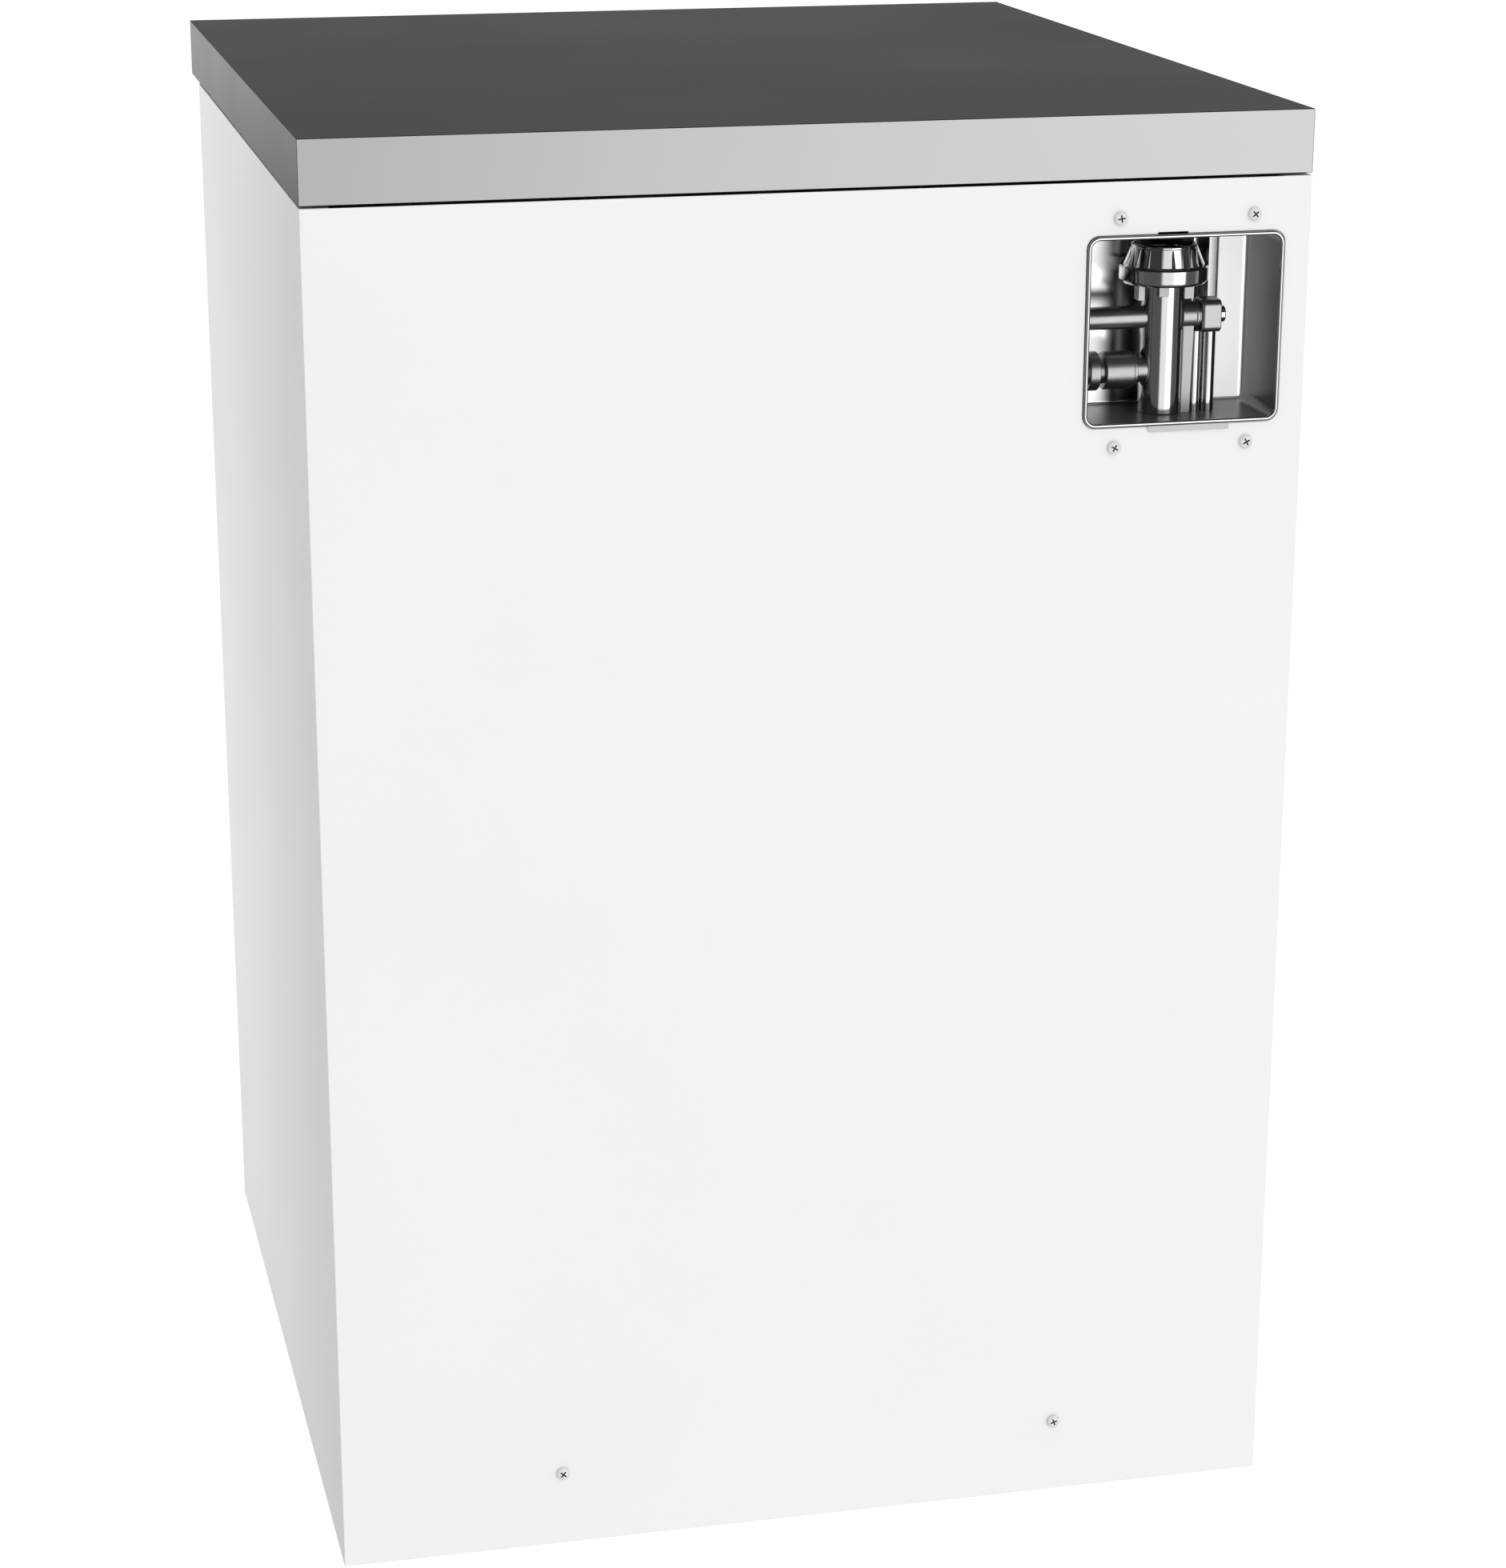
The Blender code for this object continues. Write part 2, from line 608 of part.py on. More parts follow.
def make_tub():
    flange_y = TUB_FRONT_Y + TUB_WALL
    bm = open_box_mesh((-TUB_HALF_W, flange_y, TUB_Z[0]), (TUB_HALF_W, TUB_REAR_Y, TUB_Z[1]),
                       ((0, -1, 0),), 1, 0.020, 3)
    rim = [edge for edge in bm.edges if edge.is_boundary]
    grown = bmesh.ops.extrude_edge_only(bm, edges=rim)
    lip = [item for item in grown["geom"] if isinstance(item, bmesh.types.BMVert)]
    middle = Vector((0, flange_y, sum(TUB_Z) / 2))
    half_h = (TUB_Z[1] - TUB_Z[0]) / 2
    bmesh.ops.scale(bm, vec=(1 + TUB_FLANGE / TUB_HALF_W, 1, 1 + TUB_FLANGE / half_h),
                    space=Matrix.Translation(-middle), verts=lip)
    bmesh.ops.recalc_face_normals(bm, faces=bm.faces)
    level = [face for face in bm.faces if abs(face.normal.z) > 0.9]
    floor = min(level, key=lambda face: face.calc_center_median().z)
    if floor.normal.z > 0:
        bmesh.ops.reverse_faces(bm, faces=bm.faces)
    tub = object_from("tub", bm)
    shell(tub, TUB_WALL, -1)
    for side in (-1, 1):
        for y in (-0.262, -0.090):
            join(tub, side_box("rail_pad", side, (0.2665, y, 0.500), (0.2775, y + 0.020, 0.536)))
    cut(tub, cylinder("sump_hole", (0, 0, TUB_Z[0] - 0.01), (0, 0, TUB_FLOOR_Z + 0.01), 0.075, 32),
        cylinder("float_hole", (*FLOAT_XY, TUB_Z[0] - 0.01), (*FLOAT_XY, TUB_FLOOR_Z + 0.01), 0.006, 12))
    for x in (-0.020, 0.020):
        cut(tub, cylinder("heater_hole", (x, -HEATER_Y, TUB_Z[0] - 0.01), (x, -HEATER_Y, TUB_FLOOR_Z + 0.01),
                          0.006, 12))
    finish(tub, LIGHT_GREY, 0.35)


def make_heating_element():
    opening = math.asin(0.020 / HEATER_R)
    count = 30
    route = [(0.020, -HEATER_Y, 0.132), (0.020, -HEATER_Y, 0.160)]
    for index in range(count + 1):
        angle = -math.pi / 2 + opening + (2 * math.pi - 2 * opening) * index / count
        if 0 < index < count:
            route.append((HEATER_R * math.cos(angle), HEATER_R * math.sin(angle), HEATER_Z))
    route += [(-0.020, -HEATER_Y, 0.160), (-0.020, -HEATER_Y, 0.132)]
    element = tube("heating_element", route, 0.0035, 1)
    finish(element, STEEL, 0.3, 1.0)


def make_door_seal():
    x = TUB_HALF_W + 0.0075
    y = TUB_FRONT_Y - 0.0029
    top = TUB_Z[1] + 0.0075
    turn = 0.020
    route = [(x, y, 0.185)]
    for side in (1, -1):
        for step in range(4):
            angle = math.radians(30 * step) if side > 0 else math.radians(90 - 30 * step)
            route.append((side * (x - turn + turn * math.cos(angle)), y,
                          top - turn + turn * math.sin(angle)))
    route.append((-x, y, 0.185))
    finish(tube("door_seal", route, 0.0025, 1), RUBBER, 0.7)


def make_sump():
    floor = TUB_FLOOR_Z
    profile = [(0.0695, floor + 0.0035), (0.0880, floor + 0.0035), (0.0880, floor + 0.0005),
               (0.0725, floor + 0.0005), (0.0725, 0.110), (0.0160, 0.110), (0.0160, 0.113),
               (0.0695, 0.113)]
    finish(turned("sump", profile, (0, 0, 0), 24), LIGHT_GREY, 0.4)
    basket = turned("filter_basket", [(0.0485, 0.162), (0.0500, 0.162), (0.0500, 0.1145), (0.0190, 0.1145),
                                      (0.0190, 0.150), (0.0205, 0.150), (0.0205, 0.116), (0.0485, 0.116)],
                    (0, 0, 0), 20)
    finish(basket, STEEL, 0.35, 1.0)


def make_wash_pump():
    top = PUMP_TOP_Z
    low = PUMP_BOTTOM_Z
    profile = [(0.0120, 0.176), (0.0145, 0.176), (0.0145, top), (0.0450, top), (0.0450, low),
               (0.0055, low), (0.0055, low + 0.003), (0.0410, low + 0.003), (0.0410, top - 0.003),
               (0.0120, top - 0.003)]
    housing = turned("pump_housing", profile, (0, 0, 0), 20)
    cut(housing, cylinder("inlet_port", (0, 0.030, (low + top) / 2), (0, 0.060, (low + top) / 2), 0.007, 12))
    finish(housing, LIGHT_GREY, 0.4)
    impeller = turned("pump_impeller", [(0, 0.101), (0.0080, 0.101), (0.0080, 0.0925), (0.0380, 0.0925),
                                        (0.0380, 0.0900), (0.0040, 0.0900), (0.0040, 0.0700), (0, 0.0700)],
                      (0, 0, 0), 18)
    for index in range(3):
        vane = box("vane", (-0.0360, -0.0012, 0.0915), (0.0360, 0.0012, 0.0995))
        vane.rotation_euler = (0, 0, math.radians(60 * index))
        join(impeller, vane)
    finish(impeller, BLACK, 0.5)
    motor = turned("wash_motor", [(0, 0.066), (0.0046, 0.066), (0.0046, low - 0.0005), (0.0420, low - 0.0005),
                                  (0.0420, 0.0300), (0, 0.0300)], (0, 0, 0), 20)
    finish(motor, ZINC, 0.45, 0.7)


def make_drain_pump():
    z = 0.095
    pump = cylinder("drain_pump", (0.080, 0.030, z), (0.150, 0.030, z), 0.028, 24)
    join(pump, cylinder("outlet", (0.105, 0.045, z), (0.105, 0.095, z), 0.0075, 14),
         cylinder("volute", (0.0760, 0.030, z), (0.094, 0.030, z), 0.034, 24))
    finish(pump, BLACK, 0.5)


def make_inlet_valve():
    valve = box("inlet_valve", (0.100, 0.285, 0.078), (0.150, 0.325, 0.112))
    join(valve, cylinder("spigot", (0.125, 0.305, 0.105), (0.125, 0.305, 0.130), 0.0060, 14),
         cylinder("coil", (0.140, 0.305, 0.095), (0.178, 0.305, 0.095), 0.015, 18))
    finish(valve, BLUE_GREY, 0.5)


SUPPLY_ROUTE = (
    (-0.1602, 0.3081, 0.8155), (-0.120, 0.3081, 0.8155), (-0.060, 0.307, 0.812), (0.000, 0.306, 0.798),
    (0.060, 0.305, 0.768), (0.110, 0.305, 0.715), (0.140, 0.305, 0.640), (0.150, 0.305, 0.550),
    (0.150, 0.305, 0.450), (0.147, 0.305, 0.350), (0.140, 0.305, 0.260), (0.128, 0.305, 0.200),
    (0.125, 0.305, 0.155), (0.125, 0.305, 0.1304),
)
DRAIN_ROUTE = (
    (-0.1602, 0.3081, 0.7825), (-0.125, 0.3081, 0.7825), (-0.085, 0.306, 0.772), (-0.052, 0.303, 0.742),
    (-0.036, 0.300, 0.690), (-0.032, 0.298, 0.600), (-0.032, 0.298, 0.500), (-0.032, 0.298, 0.400),
    (-0.030, 0.298, 0.300), (-0.022, 0.295, 0.210), (0.002, 0.288, 0.150), (0.035, 0.262, 0.116),
    (0.070, 0.220, 0.104), (0.096, 0.170, 0.0965), (0.105, 0.125, 0.095), (0.105, 0.0955, 0.095),
)


def make_hoses():
    finish(tube("fill_hose", smooth_route(SUPPLY_ROUTE, 0.045), 0.0060, 2), BLUE_GREY, 0.6)
    finish(tube("drain_hose", smooth_route(DRAIN_ROUTE, 0.045), 0.0078, 2), BLACK, 0.6)


def make_spray_arms():
    hub = turned("lower_spray_arm", [(0, 0.1945), (0.0180, 0.1945), (0.0230, 0.1900),
                                     (0.0230, 0.1700), (0.0152, 0.1700), (0.0152, 0.1800), (0, 0.1800)],
                 (0, 0, 0), 20)
    join(hub, spray_blade("blade", (0, 0), LOWER_ARM_Z, 0.225))
    finish(hub, LIGHT_GREY, 0.4)
    x, y = UPPER_ARM_XY
    upper = cylinder("upper_spray_arm", (x, y, 0.4600), (x, y, 0.4780), 0.0150, 24, origin=(x, y, 0.4600))
    join(upper, spray_blade("blade", (x, y), 0.4620, 0.200))
    cut(upper, cylinder("pin_bore", (x, y, 0.4650), (x, y, 0.4800), 0.0046, 16))
    finish(upper, LIGHT_GREY, 0.4)


def spray_blade(name, centre, z, reach):
    """A flat blade that narrows towards its tips, with a slot through its middle for the hub."""
    x, y = centre
    bm = box_mesh((x - reach, y - 0.021, z), (x + reach, y + 0.021, z + 0.0095))
    middle_edges = [edge for edge in bm.edges if along(edge, 0)]
    bmesh.ops.subdivide_edges(bm, edges=middle_edges, cuts=1)
    for vert in bm.verts:
        if abs(vert.co.x - x) > reach * 0.9:
            vert.co.y = y + (vert.co.y - y) * 0.55
    blade = object_from(name, bm)
    return blade


def make_float():
    x, y = FLOAT_XY
    piece = turned("overfill_float", [(0, 0.185), (0.014, 0.184), (0.0235, 0.176), (0.0235, 0.1580),
                                      (0.0040, 0.1580), (0.0040, 0.1350), (0, 0.1350)], (x, y, 0), 24)
    finish(piece, LIGHT_GREY, 0.4)


def tray(name, low, high, slots_x, slots_y):
    """An open tray with slots through its floor."""
    bm = open_box_mesh(low, high, ((0, 0, 1),), 2, 0.025, 2)
    piece = shell(object_from(name, bm), RACK_WALL)
    for x0, x1 in slots_x:
        for y0, y1 in slots_y:
            cut(piece, box("slot", (x0, y0, low[2] - 0.01), (x1, y1, low[2] + 0.02)))
    return piece


def even_slots(low, high, count, bar):
    pitch = (high - low + bar) / count
    return [(low + index * pitch, low + (index + 1) * pitch - bar) for index in range(count)]


def make_racks():
    low, high = LOWER_RACK
    lower = tray("lower_rack", low, high, even_slots(low[0] + 0.03, high[0] - 0.03, 4, 0.05),
                 even_slots(low[1] + 0.03, high[1] - 0.03, 4, 0.05))
    finish(lower, LIGHT_GREY, 0.4)

    low, high = UPPER_RACK
    x, y = UPPER_ARM_XY
    upper = tray("upper_rack", low, high, even_slots(low[0] + 0.03, high[0] - 0.03, 4, 0.05),
                 ((low[1] + 0.04, y - 0.06), (y + 0.06, high[1] - 0.04)))
    join(upper, cylinder("arm_pin", (x, y, 0.4655), (x, y, 0.4815), 0.0040, 12))
    for side in (-1, 1):
        for roller_y in (0.030, 0.180):
            join(upper, cylinder("roller", (side * 0.2415, roller_y, sum(RAIL_Z) / 2),
                                 (side * 0.2615, roller_y, sum(RAIL_Z) / 2), 0.0093, 16))
    finish(upper, LIGHT_GREY, 0.4)

    basket_low = (0.150, -0.190, 0.2085)
    basket_high = (0.232, 0.060, 0.330)
    basket = tray("cutlery_basket", basket_low, basket_high,
                  even_slots(basket_low[0] + 0.012, basket_high[0] - 0.012, 1, 0.01),
                  even_slots(basket_low[1] + 0.012, basket_high[1] - 0.012, 4, 0.012))
    finish(basket, BLUE_GREY, 0.5)


def make_rack_rails():
    for side, name in ((1, "rack_rail_left"), (-1, "rack_rail_right")):
        bm = open_box_mesh(
            (min(side * RAIL_X[0], side * RAIL_X[1]), RAIL_Y[0], RAIL_Z[0]),
            (max(side * RAIL_X[0], side * RAIL_X[1]), RAIL_Y[1], RAIL_Z[1]),
            ((-side, 0, 0), (0, 1, 0), (0, -1, 0)))
        rail = shell(object_from(name, bm), 0.0014)
        finish(rail, STEEL, 0.3, 1.0)


# ---------------------------------------------------------------- door

HINGE = (0.0, HINGE_Y, HINGE_Z)


def make_door_panels():
    bm = open_box_mesh((-DOOR_HALF_W, DOOR_FRONT_Y, DOOR_Z[0]), (DOOR_HALF_W, -0.3065, DOOR_Z[1]),
                       ((0, 1, 0),))
    skin = shell(object_from("door_panel", bm, HINGE), SHEET)
    finish(skin, WHITE, 0.35)

    bm = open_box_mesh((-LINER_HALF_W, -0.3050, 0.118), (LINER_HALF_W, DOOR_BACK_Y, DOOR_Z[1]),
                       ((0, -1, 0),))
    liner = shell(object_from("door_liner", bm, HINGE), 0.0025)
    cut(liner, box("dispenser_opening", (-0.0886, -0.310, 0.3564), (0.0886, -0.280, 0.4636)))
    finish(liner, LIGHT_GREY, 0.35)


BUTTONS = (("start_button", 0.235), ("cycle_button", 0.190))
BUTTON_Z = 0.862
LATCH_Z = (0.838, 0.882)
LATCH_HALF_W = 0.072


def make_console():
    bm = open_box_mesh((-DOOR_HALF_W, CONSOLE_FRONT_Y, CONSOLE_Z[0]),
                       (DOOR_HALF_W, DOOR_BACK_Y - 0.0003, CONSOLE_Z[1]), ((0, 0, -1),), 0, 0.004, 2)
    console = shell(object_from("control_panel", bm, HINGE), CONSOLE_WALL)
    cut(console, box("latch_window", (-LATCH_HALF_W - 0.0015, -0.345, LATCH_Z[0] - 0.0015),
                     (LATCH_HALF_W + 0.0015, -0.330, LATCH_Z[1] + 0.0024)))
    for name, x in BUTTONS:
        cut(console, box("button_window", (x - 0.0126, -0.345, BUTTON_Z - 0.0066),
                         (x + 0.0126, -0.330, BUTTON_Z + 0.0066)))
    finish(console, WHITE, 0.35)
    for name, x in BUTTONS:
        button = box(name, (x - 0.0120, -0.3398, BUTTON_Z - 0.0060), (x + 0.0120, -0.3330, BUTTON_Z + 0.0060),
                     (x, -0.3398, BUTTON_Z))
        join(button, box("button_flange", (x - 0.0150, -0.3362, BUTTON_Z - 0.0090),
                         (x + 0.0150, -0.3345, BUTTON_Z + 0.0090)))
        finish(button, LIGHT_GREY, 0.4)


LATCH_AXIS = (0.0, -0.3340, 0.8780)


def make_latch():
    bm = box_mesh((-LATCH_HALF_W, -0.3395, LATCH_Z[0]), (LATCH_HALF_W, -0.3320, LATCH_Z[1]))
    latch = object_from("latch_handle", bm, LATCH_AXIS)
    cut(latch, box("finger_grip", (-LATCH_HALF_W + 0.008, -0.3365, LATCH_Z[0] - 0.005),
                   (LATCH_HALF_W - 0.008, -0.3250, LATCH_Z[0] + 0.026)))
    join(latch, cylinder("latch_pins", (-LATCH_HALF_W - 0.006, LATCH_AXIS[1], LATCH_AXIS[2]),
                         (LATCH_HALF_W + 0.006, LATCH_AXIS[1], LATCH_AXIS[2]), 0.0016, 10))
    finish(latch, LIGHT_GREY, 0.35)


def make_hinge_arm(name, side):
    xs = sorted((side * ARM_X[0], side * ARM_X[1]))
    outline = ((-0.330, 0.118), (-0.2385, 0.118), (-0.2385, 0.132), (-0.290, 0.132),
               (-0.3065, 0.148), (-0.3065, 0.300), (-0.330, 0.300))
    pivot = (side * ARM_X[0], HINGE_Y, HINGE_Z)
    arm = outline_plate(name, outline, *xs, origin=pivot)
    cut(arm, cylinder("pin_hole", (side * 0.290, HINGE_Y, HINGE_Z), (side * 0.310, HINGE_Y, HINGE_Z),
                      PIN_R + GAP, 16))
    join(arm, cylinder("tail_pin", (side * 0.2904, TAIL_Y, HINGE_Z), (side * 0.2985, TAIL_Y, HINGE_Z),
                       0.0015, 8))
    finish(arm, ZINC, 0.4, 0.9)


def make_door_spring(name, side):
    low = SPRING_FOOT_Z + 0.0015 + GAP
    high = HINGE_Z - 0.0015 - GAP
    profile = [(0, high), (0.0015, high), (0.0015, high - 0.012), (0.0042, high - 0.013),
               (0.0042, low + 0.013), (0.0015, low + 0.012), (0.0015, low), (0, low)]
    finish(turned(name, profile, (side * SPRING_X, TAIL_Y, 0), 12), STEEL, 0.3, 1.0)


DISPENSER_LOW = (-0.088, -0.3040, 0.357)
DISPENSER_HIGH = (0.088, -0.2896, 0.463)
LID_HINGE = (-0.035, -0.2917, 0.3712)
RINSE_CENTRE = (0.050, 0.410)


def make_dispenser():
    housing = box("dispenser", DISPENSER_LOW, DISPENSER_HIGH)
    x, z = RINSE_CENTRE
    cut(housing,
        box("lid_recess", (-0.0825, -0.2942, 0.3675), (0.0125, -0.280, 0.4445)),
        box("cup", (-0.0790, -0.3015, 0.3740), (0.0090, -0.290, 0.4400)),
        cylinder("cap_recess", (x, -0.3015, z), (x, -0.280, z), 0.0188, 28))
    finish(housing, LIGHT_GREY, 0.4)
    lid = box("dispenser_lid", (-0.0815, -0.2932, 0.3700), (0.0115, -0.2902, 0.4430), LID_HINGE)
    finish(lid, BLUE_GREY, 0.4)
    cap = cylinder("rinse_cap", (x, -0.3005, z), (x, -0.2935, z), 0.0180, 28, origin=(x, -0.2902, z))
    join(cap, box("grip", (x - 0.0030, -0.2950, z - 0.0160), (x + 0.0030, -0.2902, z + 0.0160)))
    finish(cap, BLUE_GREY, 0.4)


# ---------------------------------------------------------------- assembly

def build():
    make_countertop()
    make_rear_panel()
    make_side_panel("side_panel_left", 1)
    make_side_panel("side_panel_right", -1)
    make_toe_kick()
    make_base_frame()
    for end, y in CASTER_YS:
        for side in (1, -1):
            make_caster(end, side, y)
    make_screws()
    make_recess_box()
    make_recess_strip()
    make_coupler_body()
    make_collar()
    make_hose_connector()
    make_release_valve()
    make_tub()
    make_heating_element()
    make_door_seal()
    make_sump()
    make_wash_pump()
    make_drain_pump()
    make_inlet_valve()
    make_hoses()
    make_spray_arms()
    make_float()
    make_racks()
    make_rack_rails()
    make_door_panels()
    make_console()
    make_latch()
    for side, hand in ((1, "left"), (-1, "right")):
        make_hinge_arm("hinge_arm_" + hand, side)
        make_door_spring("door_spring_" + hand, side)
    make_dispenser()


build()
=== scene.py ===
"""Looks of the portable dishwasher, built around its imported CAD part."""

import math

import bmesh
import bpy
from mathutils import Matrix, Vector


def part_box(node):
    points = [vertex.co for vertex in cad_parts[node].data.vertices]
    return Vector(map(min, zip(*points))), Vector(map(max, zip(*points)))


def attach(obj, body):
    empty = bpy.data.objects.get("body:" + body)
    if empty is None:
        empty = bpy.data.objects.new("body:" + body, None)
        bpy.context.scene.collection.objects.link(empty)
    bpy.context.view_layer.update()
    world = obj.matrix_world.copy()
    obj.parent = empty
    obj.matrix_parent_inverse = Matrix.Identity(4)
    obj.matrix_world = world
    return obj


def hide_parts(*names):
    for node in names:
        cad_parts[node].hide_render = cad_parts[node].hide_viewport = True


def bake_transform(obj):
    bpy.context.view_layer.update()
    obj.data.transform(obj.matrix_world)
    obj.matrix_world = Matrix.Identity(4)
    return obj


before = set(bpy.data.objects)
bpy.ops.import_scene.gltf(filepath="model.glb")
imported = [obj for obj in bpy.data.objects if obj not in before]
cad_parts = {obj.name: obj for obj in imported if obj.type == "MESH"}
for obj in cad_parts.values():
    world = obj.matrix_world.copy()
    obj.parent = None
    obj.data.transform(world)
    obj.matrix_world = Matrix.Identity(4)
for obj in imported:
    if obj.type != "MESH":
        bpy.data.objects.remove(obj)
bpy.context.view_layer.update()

MM = 0.001


# ---------------------------------------------------------------- driving sizes

# Recess: the outside of its rim, its back wall, and what stops short of its top and bottom.
REAR_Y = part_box("rear_panel")[1][1]
RIM_X = (-0.2977, -0.1695)
RIM_Z = (0.7521, 0.8718)
RIM_CORNER = 0.008
RIM_WIDTH = 0.0026
BACK_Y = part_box("recess_strip")[0][1] - 0.0003
POCKET_MARGIN = 0.0045
CLIP_SLOT_X = (-0.2345, -0.2149)
TAB_X = (-0.2653, -0.2116)
PEG_Z = 0.804

# Coupler: its upright axis, the heights of its two pipes, and the parts beside its body.
COUPLER_X = -0.2297
COUPLER_Y = REAR_Y - 0.030
COUPLER_R = 0.014
CROSS_Z = 0.8155
DRAIN_Z = 0.7825
COLLAR_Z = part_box("coupler_collar")[0][2]
COLLAR_RIBS = 18
WEB_X = (-0.2488, -0.2400)
RISER_X = (-0.2513, -0.2604)
RISER_R = 0.0043

# Inside the cabinet.
ELEMENT_R = 0.0035
SPRING_WIRE_R = 0.0006
RACK_CORNER = 0.022
TINE_PITCH = 0.026
TINE_ROW_GAP = 0.106
ROLLER_Z = 0.5180
BLADE_HALF_WIDTH = 0.0205
BLADE_THICKNESS = 0.0095

RECESS_SCREWS = tuple("recess_screw_%d" % number for number in range(1, 5))
SCREW_NODES = RECESS_SCREWS + ("rear_screw_left", "rear_screw_right")
CROSS_TURNS = (8, 40, 62, 28, 50, 20)
CASTERS = ("front_left", "front_right", "rear_left", "rear_right")


# ---------------------------------------------------------------- camera

def make_camera():
    bpy.ops.object.camera_add(location=(0.5612, 2.5367, 1.2396), rotation=(1.2671, -0.0001, 2.9160))
    camera = bpy.context.active_object
    camera.data.lens = 86.47
    camera.data.sensor_width = 36
    camera.data.shift_x = 0.0154
    camera.data.shift_y = 0.0034
    bpy.context.scene.camera = camera


make_camera()


# ---------------------------------------------------------------- shader groups

def add_node(tree, kind, inputs=None, **settings):
    """A shader node. Each of its inputs is given a value, or an output socket to be linked to."""
    node = tree.nodes.new("ShaderNode" + kind)
    for key, value in settings.items():
        setattr(node, key, value)
    for key, value in (inputs or {}).items():
        if isinstance(value, bpy.types.NodeSocket):
            tree.links.new(value, node.inputs[key])
        else:
            node.inputs[key].default_value = value
    return node


def new_group(name, inputs, outputs):
    """An empty shader group. Inputs are given as (name, kind, default) and outputs as (name, kind)."""
    group = bpy.data.node_groups.new(name, "ShaderNodeTree")
    for label, kind, value in inputs:
        socket = group.interface.new_socket(name=label, in_out="INPUT", socket_type="NodeSocket" + kind)
        socket.default_value = value
    for label, kind in outputs:
        group.interface.new_socket(name=label, in_out="OUTPUT", socket_type="NodeSocket" + kind)
    start = group.nodes.new("NodeGroupInput")
    end = group.nodes.new("NodeGroupOutput")
    return group, start.outputs, end.inputs


def noise_in(group, scale, detail, stretch=(1, 1, 1)):
    """A noise on Object coordinates, whose scale and stretch may come from sockets."""
    place = add_node(group, "TexCoord")
    mapping = add_node(group, "Mapping", {"Vector": place.outputs["Object"], "Scale": stretch})
    noise = add_node(group, "TexNoise",
                     {"Detail": detail, "Vector": mapping.outputs["Vector"], "Scale": scale})
    return noise.outputs["Fac"]


def make_mottle_group():
    """Slow, faint changes of shade and gloss over a surface."""
    group, start, end = new_group(
        "mottle",
        (("Colour", "Color", (0.8, 0.8, 0.8, 1)), ("Other Colour", "Color", (0.7, 0.7, 0.7, 1)),
         ("Scale", "Float", 6.0), ("Low Roughness", "Float", 0.3), ("High Roughness", "Float", 0.4)),
        (("Colour", "Color"), ("Roughness", "Float")))
    noise = noise_in(group, start["Scale"], 3.0)
    spread = add_node(group, "MapRange", {"From Min": 0.3, "From Max": 0.7, "Value": noise}).outputs[0]
    mix = add_node(group, "Mix", {"Factor": spread, 6: start["Colour"], 7: start["Other Colour"]},
                   data_type="RGBA")
    gloss = add_node(group, "MapRange", {"Value": spread, "To Min": start["Low Roughness"],
                                         "To Max": start["High Roughness"]})
    group.links.new(mix.outputs[2], end["Colour"])
    group.links.new(gloss.outputs["Result"], end["Roughness"])
    return group


def make_grain_group():
    """Fine height for bump: a noise that may be stretched along X, Y or Z."""
    group, start, end = new_group(
        "grain",
        (("Scale", "Float", 800.0), ("Stretch", "Vector", (1, 1, 1))),
        (("Height", "Float"),))
    group.links.new(noise_in(group, start["Scale"], 2.0, start["Stretch"]), end["Height"])
    return group


MOTTLE = make_mottle_group()
GRAIN = make_grain_group()


# ---------------------------------------------------------------- materials

def shade(colour, factor=1.0):
    return tuple(channel * factor for channel in colour) + (1,)


def finish_material(name, colour, roughness, metallic=0.0, contrast=0.96, mottle_scale=6.0,
                    grain_scale=900.0, stretch=(1, 1, 1), bump=0.05, bump_mm=0.05, gloss_spread=0.05,
                    specular=0.5, glow=0.0):
    """A finish with faint mottling and a fine grain. Colour and roughness change over the surface."""
    made = bpy.data.materials.new(name)
    made.use_nodes = True
    made.diffuse_color = shade(colour)
    tree = made.node_tree
    mottle = add_node(tree, "Group",
                      {"Colour": shade(colour), "Other Colour": shade(colour, contrast),
                       "Scale": mottle_scale, "Low Roughness": roughness,
                       "High Roughness": roughness + gloss_spread},
                      node_tree=MOTTLE)
    grain = add_node(tree, "Group", {"Scale": grain_scale, "Stretch": stretch}, node_tree=GRAIN)
    relief = add_node(tree, "Bump", {"Strength": bump, "Distance": bump_mm * MM,
                                     "Height": grain.outputs["Height"]})
    shader = tree.nodes["Principled BSDF"].inputs
    shader["Metallic"].default_value = metallic
    shader["Specular IOR Level"].default_value = specular
    shader["Emission Color"].default_value = shade(colour)
    shader["Emission Strength"].default_value = glow
    tree.links.new(mottle.outputs["Colour"], shader["Base Color"])
    tree.links.new(mottle.outputs["Roughness"], shader["Roughness"])
    tree.links.new(relief.outputs["Normal"], shader["Normal"])
    return made


ENAMEL = finish_material("white_enamel", (0.865, 0.868, 0.88), 0.36, contrast=0.992,
                         grain_scale=520, bump=0.10, bump_mm=0.04, specular=0.4)
WORKTOP = finish_material("worktop_satin", (0.234, 0.234, 0.236), 0.21, metallic=1.0, contrast=0.97,
                          mottle_scale=3.0, grain_scale=2200, bump=0.06, bump_mm=0.02)
WHITE_PLASTIC = finish_material("console_white", (0.84, 0.845, 0.855), 0.25, contrast=0.99,
                                grain_scale=1500, bump=0.05, bump_mm=0.02)
GREY_PLASTIC = finish_material("moulded_grey", (0.52, 0.53, 0.54), 0.42, contrast=0.96, grain_scale=1800,
                               bump=0.12, bump_mm=0.03)
LINING = finish_material("tub_lining", (0.60, 0.61, 0.62), 0.34, contrast=0.97, grain_scale=900,
                         bump=0.10, bump_mm=0.05)
